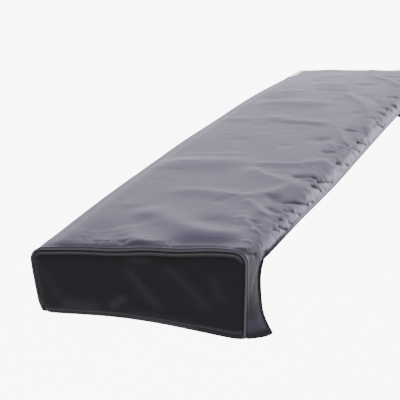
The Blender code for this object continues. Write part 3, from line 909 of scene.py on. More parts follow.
class NodeNet:
    """A node tree, with short ways to add its nodes and feed their inputs."""

    COLOUR_INPUTS = slice(6, 8)
    COLOUR_OUTPUT = 2

    def __init__(self, tree: bpy.types.NodeTree) -> None:
        """Takes the tree that the nodes go into."""
        self.tree = tree

    def feed(
        self, sink: bpy.types.NodeSocket, value: bpy.types.NodeSocket | float | Sequence[float]
    ) -> None:
        """Links an input to an output, or gives it a plain value.

        Args:
            sink: The input.
            value: The output, or the value.
        """
        if isinstance(value, bpy.types.NodeSocket):
            self.tree.links.new(value, sink)
        else:
            sink.default_value = value

    def add(
        self,
        kind: str,
        feeds: Mapping[str, bpy.types.NodeSocket | float] | None = None,
        group: bpy.types.NodeTree | None = None,
    ) -> bpy.types.Node:
        """Adds a node.

        Args:
            kind: The node's type.
            feeds: What its named inputs get.
            group: The shared effect that a group node holds.

        Returns:
            The node.
        """
        node = self.tree.nodes.new(kind)
        if group is not None:
            node.node_tree = group
        for name, value in (feeds or {}).items():
            self.feed(node.inputs[name], value)
        return node

    def maths(self, operation: str, *values: bpy.types.NodeSocket | float) -> bpy.types.NodeSocket:
        """Adds a sum.

        Args:
            operation: What it does.
            *values: Its numbers, each an output or a plain value.

        Returns:
            The sum's output.
        """
        node = self.add("ShaderNodeMath")
        node.operation = operation
        for socket, value in zip(node.inputs, values):
            self.feed(socket, value)
        return node.outputs[0]

    def mix(
        self,
        share: bpy.types.NodeSocket,
        low: bpy.types.NodeSocket | Sequence[float],
        high: bpy.types.NodeSocket | Sequence[float],
    ) -> bpy.types.NodeSocket:
        """Mixes two colours.

        Args:
            share: How much of the second there is.
            low: The first colour, as an output or as red, green and blue.
            high: The second colour, given the same way.

        Returns:
            The mixed colour's output.
        """
        node = self.add("ShaderNodeMix")
        node.data_type = "RGBA"
        self.feed(node.inputs["Factor"], share)
        for socket, value in zip(node.inputs[self.COLOUR_INPUTS], (low, high)):
            self.feed(socket, value if isinstance(value, bpy.types.NodeSocket) else (*value, 1))
        return node.outputs[self.COLOUR_OUTPUT]


class ShaderGroups:
    """The effects that several finishes share, as node groups that are made once."""

    @staticmethod
    def _start(
        name: str, setting: str, value: float, result: str
    ) -> tuple[NodeNet, bpy.types.Node, bpy.types.NodeSocket]:
        """Starts a node group that turns a vector and one setting into one result.

        Args:
            name: The group's name.
            setting: Its setting's name.
            value: The setting's usual value.
            result: Its result's name.

        Returns:
            The group's net, the node of its inputs, and the socket of its result.
        """
        tree = bpy.data.node_groups.new(name, "ShaderNodeTree")
        sockets = (
            ("Vector", "INPUT", "NodeSocketVector"),
            (setting, "INPUT", "NodeSocketFloat"),
            (result, "OUTPUT", "NodeSocketFloat"),
        )
        for label, way, kind in sockets:
            socket = tree.interface.new_socket(name=label, in_out=way, socket_type=kind)
            if label == setting:
                socket.default_value = value
        net = NodeNet(tree)
        source, sink = net.add("NodeGroupInput"), net.add("NodeGroupOutput")
        return net, source, sink.inputs[result]

    @staticmethod
    def _noise(net: NodeNet, source: bpy.types.Node, **settings: float) -> bpy.types.NodeSocket:
        """Adds a noise at the group's own place and scale.

        Args:
            net: The group's net.
            source: The node of its inputs.
            **settings: The noise's other inputs.

        Returns:
            The noise's output.
        """
        placed = {name: source.outputs[name] for name in ("Vector", "Scale")}
        return net.add("ShaderNodeTexNoise", {**placed, **settings}).outputs["Fac"]

    @staticmethod
    @cache
    def weave() -> bpy.types.NodeTree:
        """Makes a fine plain weave.

        Returns:
            A group that reads the cloth's own UV map, in metres, and gives a height.
        """
        net, source, result = ShaderGroups._start("plain weave", "Pitch", 0.0006, "Height")
        split = net.add("ShaderNodeSeparateXYZ", {"Vector": source.outputs["Vector"]})
        threads = []
        for axis in ("X", "Y"):
            turns = net.maths("DIVIDE", split.outputs[axis], source.outputs["Pitch"])
            threads.append(net.maths("SINE", net.maths("MULTIPLY", turns, math.tau)))
        over = net.maths("MULTIPLY", *threads)
        net.feed(result, net.maths("MULTIPLY_ADD", over, 0.5, 0.5))
        return net.tree

    @staticmethod
    @cache
    def mottle() -> bpy.types.NodeTree:
        """Makes soft uneven patches.

        Returns:
            A group that gives a mask from 0 to 1.
        """
        net, source, result = ShaderGroups._start("soft mottle", "Scale", 12.0, "Mask")
        noise = ShaderGroups._noise(net, source, Detail=3.0, Roughness=0.55)
        span = net.add("ShaderNodeMapRange", {"Value": noise, "From Min": 0.28, "From Max": 0.72})
        net.feed(result, span.outputs["Result"])
        return net.tree

    @staticmethod
    @cache
    def crumple() -> bpy.types.NodeTree:
        """Makes the faint creases of a thin coated cloth that has been packed away.

        Returns:
            A group that gives a height.
        """
        net, source, result = ShaderGroups._start("fine crumple", "Scale", 30.0, "Height")
        noise = ShaderGroups._noise(net, source, Detail=2.0, Distortion=0.6)
        centred = net.maths("ABSOLUTE", net.maths("SUBTRACT", noise, 0.5))
        net.feed(result, net.maths("MULTIPLY", centred, 2.0))
        return net.tree


@dataclass(frozen=True)
class ClothFinish:
    """A woven, coated cloth: its colour, gloss, weave and creases, and any shade or light painted
    over it.
    """

    name: str
    colour: tuple[float, float, float]
    worn: tuple[float, float, float]
    roughness: tuple[float, float]
    patch_scale: float = 14.0
    pitch: float = 0.0007
    weave_rise: float = 0.25
    weave_strength: float = 0.10
    crumple_scale: float = 26.0
    crumple_depth: float = 0.0
    crumple_strength: float = 0.5
    sheen: float = 0.0
    specular: float = 0.5
    tint: tuple[float, float, float] = (1.0, 1.0, 1.0)
    sheen_tint: tuple[float, float, float] = (1.0, 1.0, 1.0)
    sheen_roughness: float = 0.4
    # the colour painted where the shade attribute is 1: painted shade or painted light, not the
    # cloth's own colour
    painted_colour: tuple[float, float, float] | None = None
    # how much of the gloss and sheen the painted shade takes away
    dull: float = 0.0

    def paint(self, net: NodeNet, shader: bpy.types.Node, patches: bpy.types.NodeSocket) -> None:
        """Colours the cloth, and lays its painted colour over it where its shade attribute says so:
        painted shade on the grey cloth and tape, which also takes away their gloss and sheen, and
        painted light on the black cloth.

        Args:
            net: The material's net.
            shader: Its Principled shader.
            patches: The mask of its uneven patches.
        """
        colour = net.mix(patches, self.colour, self.worn)
        if self.painted_colour is not None:
            attribute = net.add("ShaderNodeAttribute")
            attribute.attribute_name = SHADE_NAME
            shade = attribute.outputs["Fac"]
            colour = net.mix(shade, colour, self.painted_colour)
            # painted shade takes away gloss and sheen as well
            for name, full in (("Specular IOR Level", self.specular), ("Sheen Weight", self.sheen)):
                if self.dull and full:
                    gloss_in_shade = net.maths("MULTIPLY_ADD", shade, -self.dull * full, full)
                    net.feed(shader.inputs[name], gloss_in_shade)
        net.feed(shader.inputs["Base Color"], colour)

    def relief(self, net: NodeNet, place: bpy.types.NodeSocket) -> bpy.types.NodeSocket:
        """Adds the cloth's weave and, where it has them, its faint creases.

        Args:
            net: The material's net.
            place: The place on the object, for the creases.

        Returns:
            The output of the bumped normal.
        """
        across = net.add("ShaderNodeUVMap")
        across.uv_map = UV_NAME
        feeds = {"Vector": across.outputs["UV"], "Pitch": self.pitch}
        weave = net.add("ShaderNodeGroup", feeds, ShaderGroups.weave())
        threads = {
            "Strength": self.weave_strength,
            "Distance": self.pitch * self.weave_rise,
            "Height": weave.outputs["Height"],
        }
        normal = net.add("ShaderNodeBump", threads).outputs["Normal"]
        if not self.crumple_depth:
            return normal
        feeds = {"Vector": place, "Scale": self.crumple_scale}
        crumple = net.add("ShaderNodeGroup", feeds, ShaderGroups.crumple())
        creases = {
            "Strength": self.crumple_strength,
            "Distance": self.crumple_depth,
            "Height": crumple.outputs["Height"],
            "Normal": normal,
        }
        return net.add("ShaderNodeBump", creases).outputs["Normal"]

    def material(self) -> bpy.types.Material:
        """Makes the finish as a material.

        Returns:
            A Principled material that reads the piece's UV map, in metres.
        """
        made = bpy.data.materials.new(self.name)
        made.use_nodes = True
        net = NodeNet(made.node_tree)
        shader = made.node_tree.nodes["Principled BSDF"]
        shader.inputs["Metallic"].default_value = 0.0
        shader.inputs["Specular IOR Level"].default_value = self.specular
        shader.inputs["Sheen Weight"].default_value = self.sheen
        shader.inputs["Sheen Roughness"].default_value = self.sheen_roughness
        shader.inputs["Sheen Tint"].default_value = (*self.sheen_tint, 1)
        shader.inputs["Specular Tint"].default_value = (*self.tint, 1)

        place = net.add("ShaderNodeTexCoord").outputs["Object"]
        feeds = {"Vector": place, "Scale": self.patch_scale}
        patches = net.add("ShaderNodeGroup", feeds, ShaderGroups.mottle()).outputs["Mask"]
        self.paint(net, shader, patches)
        smooth, rough = self.roughness
        span = net.add("ShaderNodeMapRange", {"Value": patches, "To Min": smooth, "To Max": rough})
        net.feed(shader.inputs["Roughness"], span.outputs["Result"])
        net.feed(shader.inputs["Normal"], self.relief(net, place))
        return made


GREY_NYLON = ClothFinish(
    name="grey coated nylon",
    colour=(0.069, 0.063, 0.098),
    worn=(0.074, 0.068, 0.104),
    roughness=(0.22, 0.28),
    crumple_depth=0.0006,
    sheen=0.12,
    sheen_tint=(0.74, 0.70, 1.0),
    specular=0.30,
    # painted shade: where the shade attribute says, a darker colour without gloss or sheen
    dull=1.0,
    tint=(0.86, 0.84, 1.0),
    painted_colour=(0.030, 0.030, 0.031),
)
BLACK_NYLON = ClothFinish(
    name="black coated nylon",
    colour=(0.0040, 0.0040, 0.0043),
    worn=(0.0050, 0.0050, 0.0054),
    specular=0.15,
    roughness=(0.38, 0.46),
    crumple_depth=0.0005,
    # painted light: a paler colour where the shade attribute says, at the turn by the seam, in the
    # seam groove, along the hem's fold and on fold crests
    painted_colour=(0.090, 0.090, 0.090),
)
PIPING_CLOTH = ClothFinish(
    name="grey piping cloth",
    colour=(0.070, 0.068, 0.076),
    worn=(0.078, 0.076, 0.084),
    roughness=(0.50, 0.58),
    specular=0.2,
)
LABEL_TAPE = ClothFinish(
    name="white woven tape",
    colour=(0.92, 0.92, 0.92),
    worn=(0.88, 0.88, 0.89),
    roughness=(0.36, 0.42),
    pitch=0.0009,
    weave_strength=0.15,
)
EDGE_TAPE = ClothFinish(
    name="matte edge tape",
    colour=(0.036, 0.036, 0.037),
    worn=(0.042, 0.042, 0.043),
    roughness=(0.70, 0.80),
    specular=0.15,
    # painted shade: the tape is painted darker and without gloss towards the near end's corner
    painted_colour=(0.007, 0.007, 0.007),
    dull=1.0,
)
GREY_THREAD = ClothFinish(
    name="grey thread",
    colour=(0.085, 0.083, 0.095),
    worn=(0.095, 0.093, 0.105),
    roughness=(0.50, 0.60),
)


def deselect_all() -> None:
    """Leaves no object selected or active."""
    if bpy.context.object and bpy.context.object.mode != "OBJECT":
        bpy.ops.object.mode_set(mode="OBJECT")
    bpy.ops.object.select_all(action="DESELECT")
    bpy.context.view_layer.objects.active = None


def make_active(piece: bpy.types.Object) -> None:
    """Selects one object alone and makes it active.

    Args:
        piece: The object.
    """
    deselect_all()
    piece.select_set(True)
    bpy.context.view_layer.objects.active = piece


def poly_curve(name: str, line: np.ndarray) -> bpy.types.Object:
    """Makes a curve that runs straight from each point of a line to the next.

    Args:
        name: The curve's name.
        line: The points.

    Returns:
        The curve's object.
    """
    curve = bpy.data.curves.new(name, "CURVE")
    curve.dimensions = "3D"
    spline = curve.splines.new("POLY")
    spline.points.add(len(line) - 1)
    for point, place in zip(spline.points, line):
        point.co = (*place, 1)
    made = bpy.data.objects.new(name, curve)
    bpy.context.scene.collection.objects.link(made)
    return made


def round_cord(
    name: str, line: np.ndarray, radius: float, resolution: int = 4
) -> bpy.types.Object:
    """A round cord along a line.

    Args:
        name: The piece's name.
        line: Points along the cord's middle.
        radius: Half the cord's thickness.
        resolution: How finely its roundness is divided.

    Returns:
        The cord as a mesh, with a UV map in metres.
    """
    made = poly_curve(name, line)
    made.data.bevel_depth = radius
    made.data.bevel_resolution = resolution
    made.data.use_fill_caps = True
    make_active(made)
    bpy.ops.object.convert(target="MESH")
    piece = bpy.context.object
    mesh = piece.data
    mesh.materials.clear()
    mesh.shade_smooth()
    layer = mesh.uv_layers[0] if mesh.uv_layers else mesh.uv_layers.new(name=UV_NAME)
    layer.name = UV_NAME
    for loop, place in zip(mesh.loops, layer.data):
        point = mesh.vertices[loop.vertex_index].co
        place.uv = (point.y + point.x, point.z)
    return piece


def apply_modifiers(piece: bpy.types.Object) -> None:
    """Applies every modifier of a piece, in order.

    Args:
        piece: The piece.
    """
    make_active(piece)
    for modifier in list(piece.modifiers):
        bpy.ops.object.modifier_apply(modifier=modifier.name)


@dataclass
class ClothSheet:
    """A grid of points that becomes a closed cloth with a finer front and a coarser back."""

    name: str
    points: np.ndarray
    flat: np.ndarray
    thickness: np.ndarray
    shade: np.ndarray | None = None
    back_step: int = 3

    def normals(self) -> np.ndarray:
        """The normals of the front, one for each point."""
        normal = np.cross(np.gradient(self.points, axis=0), np.gradient(self.points, axis=1))
        return normal / np.maximum(np.linalg.norm(normal, axis=-1, keepdims=True), TINY)

    def back_lines(self, count: int) -> list[int]:
        """Which of a number of grid lines the back keeps, both borders among them."""
        return [*range(0, count - 1, self.back_step), count - 1]

    def faces(self) -> list[tuple[int, ...]]:
        """Lists the faces of the front, the back and the rim between them.

        Returns:
            The numbers of each face's points, the front's points first.
        """
        columns, rows = self.points.shape[:2]
        front = np.arange(columns * rows).reshape(columns, rows)
        kept_columns, kept_rows = self.back_lines(columns), self.back_lines(rows)
        back = np.arange(len(kept_columns) * len(kept_rows)) + columns * rows
        back = back.reshape(len(kept_columns), len(kept_rows))
        found: list[tuple[int, ...]] = []
        for grid, turned in ((front, False), (back, True)):
            corners = [grid[:-1, :-1], grid[1:, :-1], grid[1:, 1:], grid[:-1, 1:]]
            quads = np.stack(corners[::-1] if turned else corners, axis=-1)
            found += quads.reshape(-1, 4).tolist()
        rims = (
            (front[:, 0], back[:, 0], kept_columns, True),
            (front[:, -1], back[:, -1], kept_columns, False),
            (front[0], back[0], kept_rows, False),
            (front[-1], back[-1], kept_rows, True),
        )
        for outer, inner, kept, turned in rims:
            for k, (low, high) in enumerate(zip(kept[:-1], kept[1:])):
                face = [*outer[low : high + 1].tolist(), int(inner[k + 1]), int(inner[k])]
                found.append(tuple(face[::-1] if turned else face))
        return found

    def build(self, finish: bpy.types.Material) -> bpy.types.Object:
        """Makes the cloth.

        Args:
            finish: Its material.

        Returns:
            The finished piece, with the grid's points on its outer face.
        """
        columns, rows = self.points.shape[:2]
        kept = np.ix_(self.back_lines(columns), self.back_lines(rows))
        depth = np.broadcast_to(self.thickness, (columns, rows))[..., None]
        inner = (self.points - self.normals() * depth)[kept]
        shade = np.zeros((columns, rows)) if self.shade is None else self.shade
        points, flat, shade = (
            np.concatenate([front.reshape(-1, size), back.reshape(-1, size)])
            for front, back, size in (
                (self.points, inner, 3),
                (self.flat, self.flat[kept], 2),
                (shade, shade[kept], 1),
            )
        )
        mesh = bpy.data.meshes.new(self.name)
        mesh.from_pydata(points.tolist(), [], self.faces())
        loops = np.zeros(len(mesh.loops), np.int32)
        mesh.loops.foreach_get("vertex_index", loops)
        layer = mesh.uv_layers.new(name=UV_NAME)
        layer.data.foreach_set("uv", flat[loops].astype(np.float32).ravel())
        values = mesh.attributes.new(SHADE_NAME, "FLOAT", "POINT")
        values.data.foreach_set("value", shade.astype(np.float32).ravel())
        mesh.shade_smooth()
        mesh.materials.append(finish)
        piece = bpy.data.objects.new(self.name, mesh)
        bpy.context.scene.collection.objects.link(piece)
        return piece


def spaced(length: float, start: Sequence[float], end: Sequence[float], count: int) -> np.ndarray:
    """Shares of a length with chosen close lines at both ends and even ones between.

    Args:
        length: The length in metres.
        start: Distances of the first lines from the start, from 0 up.
        end: Distances of the last lines from the end, from 0 up.
        count: How many even steps lie between.

    Returns:
        Shares from 0 to 1.
    """
    first = np.asarray(start) / length
    last = 1 - np.asarray(end)[::-1] / length
    return np.concatenate([first, np.linspace(first[-1], last[0], count + 1)[1:-1], last])


def filled(across: np.ndarray, up: np.ndarray, edges: Sequence[np.ndarray]) -> np.ndarray:
    """Fills a grid in between its four edges.

    Args:
        across: Each column's share of the way from the left edge to the right one.
        up: Each row's share of the way from the bottom edge to the top one.
        edges: The left, right, bottom and top edges, with a point for each row or column.

    Returns:
        The grid's points, by column and row.
    """
    left, right, bottom, top = edges
    across, up = across[:, None, None], up[None, :, None]
    ruled = (1 - across) * left + across * right
    ruled = ruled + (1 - up) * bottom[:, None] + up * top[:, None]
    corners = (1 - up) * ((1 - across) * left[0] + across * right[0])
    return ruled - corners - up * ((1 - across) * left[-1] + across * right[-1])


@dataclass
class MainPanel:
    """The one cloth of front wall, top, skirt and corner tabs."""

    form: CoverForm
    hem: Hem = field(default_factory=Hem)
    single: float = 0.0009
    doubled: float = 0.0014
    pitch_near: float = 0.0015
    pitch_far: float = 0.0031
    tuck_in: float = 0.0012
    seam_pitch: float = 0.0005
    seam_spread: float = 0.11
    front_rows: int = 6
    front_bend_rows: int = 9
    back_bend_rows: int = 22
    top_pitch_front: float = 0.0064
    top_pitch_back: float = 0.0032
    fine_from: float = 0.030
    wall_rows: int = 13
    fan_curve: float = 1.5
    clear_of_hems: float = 1.0
    # painted shade on the tabs, less at their feet, with painted highlights along their crests
    tab_shade: float = 0.925
    tab_shade_reach: tuple[float, float] = (0.050, 0.090)
    tab_shade_top: float = 0.034
    tab_shade_full: float = 0.014
    tab_shade_foot: float = 0.66
    tab_streak: float = 0.38
    streak: tuple[float, float] = (0.0004, 0.0018)
    # painted shade along the back hem: a dark rim, darker and wider towards the near corner, and a
    # dark line along the pressed-in stitches
    rim_width: tuple[float, float] = (0.0034, 0.0046)
    rim_shade: float = 0.86
    rim_dark_from: tuple[float, float] = (0.42, 0.56)
    tab_rim_shade: float = 1.0
    wide_rim: float = 0.0030
    wide_rim_from: tuple[float, float] = (0.38, 0.54)
    hem_line: float = 0.0076
    hem_line_width: float = 0.0017
    hem_line_reach: tuple[float, float] = (0.15, 0.54)
    # painted shade in the troughs, in a valley beside the near end seam and where the cloth tucks
    # in at the seams
    hollow: tuple[float, float] = (0.0003, 0.0018)
    hollow_shade: tuple[float, float] = (0.22, 0.96)
    hollow_reach: float = 0.012
    tucked: tuple[float, float] = (0.0010, 0.0018)
    valley: tuple[float, float, float, float] = (0.0034, 0.0048, 0.015, 0.024)
    valley_shade: float = 0.58
    valley_start: float = 0.03
    spare_columns: int = 4
    stitch_row: int = 7
    edge_points: int = 40

    def columns(self) -> np.ndarray:
        """Spaces the grid's columns, closer together at the seams and towards the near end.

        Returns:
            The x of each column.
        """
        end = self.form.main_edge + self.tuck_in
        xs = [-end]
        while xs[-1] < end:
            share = (xs[-1] + end) / (2 * end)
            step = self.pitch_far + (self.pitch_near - self.pitch_far) * share
            step = min(step, self.seam_pitch + self.seam_spread * (end - abs(xs[-1])))
            xs.append(xs[-1] + step)
        xs = np.array(xs)
        return xs[0] + (xs - xs[0]) * (2 * end) / (xs[-1] - xs[0])

    def from_cut_out(self, x: np.ndarray, w: np.ndarray, distance: np.ndarray) -> np.ndarray:
        """How far places on the back are from its edge, square to the edge where it curves.

        Args:
            x: Where each point lies along the cloth.
            w: Where each point lies across the cloth.
            distance: How far each point is from the edge along its own grid line.

        Returns:
            The distance of each point.
        """
        form = self.form
        inward = form.main_edge - np.abs(x)
        height = form.back_wall_top + form.back_wall - w
        near = (inward < form.fan_width) & (w > form.back_bend)
        line = form.cut_line(self.edge_points)
        across = inward[near][:, None] - line[:, 0]
        found = distance.copy()
        found[near] = np.hypot(across, height[near][:, None] - line[:, 1]).min(axis=1)
        return found

    def tab_tone(self, height: np.ndarray, relief: np.ndarray) -> np.ndarray:
        """How much painted shade the tabs get, less at their feet, and painted highlights along
        their crests.

        Args:
            height: How high each point is over the hem.
            relief: How far its folds lift it.

        Returns:
            A share from 0 to 1 for each point.
        """
        foot = 1 - ramp(height, self.tab_shade_full, self.tab_shade_top)
        tone = self.tab_shade + (self.tab_shade_foot - self.tab_shade) * foot
        return tone - self.tab_streak * ramp(relief, *self.streak)

    def edge_tone(
        self, x: np.ndarray, from_edge: np.ndarray, at_back: np.ndarray, onto_tab: np.ndarray
    ) -> np.ndarray:
        """How much painted shade the back hem gets, at its rim and along the groove where its
        stitches are pressed in.

        Args:
            x: Where each point lies along the cloth.
            from_edge: How far it is from the hem's edge.
            at_back: How much it belongs to the back.
            onto_tab: How much it belongs to a tab.

        Returns:
            A share from 0 to 1 for each point.
        """
        dark = np.maximum(onto_tab, ramp(x, *self.rim_dark_from))
        rim = self.rim_shade + (self.tab_rim_shade - self.rim_shade) * dark
        wider = self.wide_rim * np.maximum(onto_tab, at_back * ramp(x, *self.wide_rim_from))
        rim = rim * (1 - ramp(from_edge - wider, *self.rim_width))
        line = np.exp(-(((from_edge - self.hem_line) / self.hem_line_width) ** 2))
        return np.maximum(rim, line * at_back * ramp(x, *self.hem_line_reach))

    def top_tone(self, x: np.ndarray, w: np.ndarray, relief: np.ndarray) -> np.ndarray:
        """How much painted shade the troughs get, and the cloth beside the end seams.

        Args:
            x: Where each point lies along the cloth.
            w: Where it lies across the cloth.
            relief: How far its folds lift it.

        Returns:
            A share from 0 to 1 for each point.
        """
        form = self.form
        inward = form.main_edge - np.abs(x)
        on_top, on_bend = self.hollow_shade
        down = ramp(w, form.back_bend, form.back_bend + self.hollow_reach)
        hollow = (on_top + (on_bend - on_top) * down) * ramp(-relief, *self.hollow)
        rise, full, fall, gone = self.valley
        valley = ramp(inward, rise, full) * (1 - ramp(inward, fall, gone)) * (x > 0)
        onto_top = ramp(w, form.front_bend, form.front_bend + self.valley_start)
        valley = self.valley_shade * valley * onto_top
        return np.max([hollow, valley, 1 - ramp(inward, *self.tucked)], axis=0)

    def shade(
        self, points: np.ndarray, x: np.ndarray, w: np.ndarray, distance: np.ndarray
    ) -> np.ndarray:
        """How much painted shade the cloth gets, painted darker and without gloss: on its tabs,
        along its back hem and in its creases.

        Args:
            points: The cloth's points.
            x: Where each point lies along the cloth.
            w: Where each point lies across the cloth.
            distance: How far each point is from a hem's edge.

        Returns:
            A share from 0 to 1 for each point.
        """
        form = self.form
        relief = form.relief(x, w)
        at_back = ramp(w, form.back_bend, form.back_wall)
        onto_tab = at_back * (1 - ramp(form.main_edge - np.abs(x), *self.tab_shade_reach))
        tab = onto_tab * self.tab_tone(points[..., 2] + form.rest_height, relief)
        from_edge = self.from_cut_out(x, w, distance)
        edge = self.edge_tone(x, from_edge, at_back, onto_tab)
        return np.max([tab, edge, self.top_tone(x, w, relief)], axis=0)

    def rows_above(self) -> tuple[np.ndarray, np.ndarray]:
        """Spaces the grid's rows from the front hem over the top to the head of the back wall.

        Returns:
            Where each row lies across the cloth, and how far it is from the front hem's edge.
        """
        form = self.form
        shares = self.hem.shares(form.front_wall_top, self.front_rows)[0][::-1]
        wall = form.front_wall - form.front_wall_top * shares
        coarse = round((self.fine_from - form.front_bend) / self.top_pitch_front)
        fine = round((form.back_bend - self.fine_from) / self.top_pitch_back)
        stretches = (
            (form.front_wall, form.front_bend, self.front_bend_rows),
            (form.front_bend, self.fine_from, coarse),
            (self.fine_from, form.back_bend, fine),
            (form.back_bend, form.back_wall, self.back_bend_rows),
        )
        others = [np.linspace(start, stop, count + 1)[1:] for start, stop, count in stretches]
        w = np.concatenate([wall, *others])
        distance = np.full(len(w), self.clear_of_hems)
        distance[: len(wall)] = form.front_wall_top * (1 - shares)
        return w, distance

    def grid(self) -> list[np.ndarray]:
        """Lays out the whole cloth's grid, whose columns fan out over the tabs.

        Returns:
            Where each point lies along and across the cloth, and its distance from a hem's edge
            along its grid line.
        """
        form = self.form
        x = self.columns()
        w, from_front = self.rows_above()
        inward = form.main_edge - np.abs(x)
        hem_in, hem_z = form.hem_place(x)
        drop = form.back_wall_top - hem_z
        length = np.hypot(drop, hem_in - inward)
        shares = self.hem.shares(length, self.wall_rows)[:, 1:]
        across = inward[:, None] + (hem_in - inward)[:, None] * shares**self.fan_curve
        side = np.where(x < 0, -1.0, 1.0)[:, None]
        above = (x[:, None], w, from_front)
        wall = (
            side * (form.main_edge - across),
            form.back_wall + drop[:, None] * shares,
            length[:, None] * (1 - shares),
        )
        shape = (len(x), len(w))
        return [
            np.concatenate([np.broadcast_to(high, shape), low], axis=1)
            for high, low in zip(above, wall)
        ]

    def trim(self, points: np.ndarray, normals: np.ndarray) -> list[bpy.types.Object]:
        """Binds the back hem, and sews both hems.

        Args:
            points: The cloth's points.
            normals: Their normals.

        Returns:
            The tape and the two rows of stitches.
        """
        kept = slice(self.spare_columns, -self.spare_columns)
        edge = points[:, -1] - normals[:, -1] * self.doubled / 2
        made = [Binding().build(edge[kept])]
        for name, row in (("front", self.stitch_row), ("back", -1 - self.stitch_row)):
            stitches = Stitches(f"stitches_{name}", GREY_THREAD, "grey_cloth")
            made.append(stitches.build(points[kept, row]))
        return made

    def build(self) -> list[bpy.types.Object]:
        """Makes the main panel.

        Returns:
            The cloth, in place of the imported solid, then its tape and stitches.
        """
        x, w, distance = self.grid()
        points = self.form.surface(x, w, self.form.cloth / 2 + self.hem.lift(distance))
        thickness = np.where(distance < self.hem.width, self.doubled, self.single)
        shade = self.shade(points, x, w, distance)
        sheet = ClothSheet("main_cloth", points, np.stack([x, w], axis=-1), thickness, shade)
        piece = sheet.build(GREY_NYLON.material())
        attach(piece, ROOT_BODY)
        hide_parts("main_panel")
        seams = self.trim(points, sheet.normals())
        return [piece, *seams]


@dataclass
class Binding:
    """The tape that binds the back hem: the tabs' feet, the cut-out and the skirt."""

    radius: float = 0.0013
    resolution: int = 2
    # painted shade: the tape is painted darker from here towards the near end
    dark_from: tuple[float, float] = (0.44, 0.60)

    def build(self, edge: np.ndarray) -> bpy.types.Object:
        """Makes the tape.

        Args:
            edge: Points along the middle of the cloth's edge.

        Returns:
            The tape, rolled round the edge.
        """
        piece = round_cord("edge_tape", edge, self.radius, self.resolution)
        along = np.array([point.co.x for point in piece.data.vertices])
        values = piece.data.attributes.new(SHADE_NAME, "FLOAT", "POINT")
        values.data.foreach_set("value", ramp(along, *self.dark_from).astype(np.float32))
        piece.data.materials.append(EDGE_TAPE.material())
        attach(piece, ROOT_BODY)
        return piece


@dataclass
class Stitches:
    """A row of stitches that lies along a line on the cloth."""

    name: str
    finish: ClothFinish
    slot: str
    pitch: float = 0.0036
    length: float = 0.0026
    radius: float = 0.00028
    sides: int = 6
    rings: int = 5

    def build(self, line: np.ndarray) -> bpy.types.Object:
        """Makes the row.

        Args:
            line: Points along the row.

        Returns:
            All the row's stitches as one piece.
        """
        deselect_all()
        bpy.ops.mesh.primitive_uv_sphere_add(segments=self.sides, ring_count=self.rings, radius=1)
        piece = bpy.context.object
        piece.name = self.name
        bpy.ops.object.mode_set(mode="EDIT")
        bpy.ops.mesh.select_all(action="SELECT")
        bpy.ops.transform.resize(value=(self.radius, self.radius, self.length / 2))
        bpy.ops.object.mode_set(mode="OBJECT")
        route = poly_curve("stitch route", line)
        row = piece.modifiers.new("row", "ARRAY")
        row.fit_type = "FIT_CURVE"
        row.curve = route
        row.use_relative_offset = False
        row.use_constant_offset = True
        row.constant_offset_displace = (0, 0, self.pitch)
        bent = piece.modifiers.new("bent", "CURVE")
        bent.object = route
        bent.deform_axis = "POS_Z"
        apply_modifiers(piece)
        curve = route.data
        bpy.data.objects.remove(route)
        bpy.data.curves.remove(curve)
        piece.data.shade_smooth()
        piece.data.uv_layers[0].name = UV_NAME
        piece.data.materials.append(self.finish.material())
        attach(piece, ROOT_BODY)
        return piece


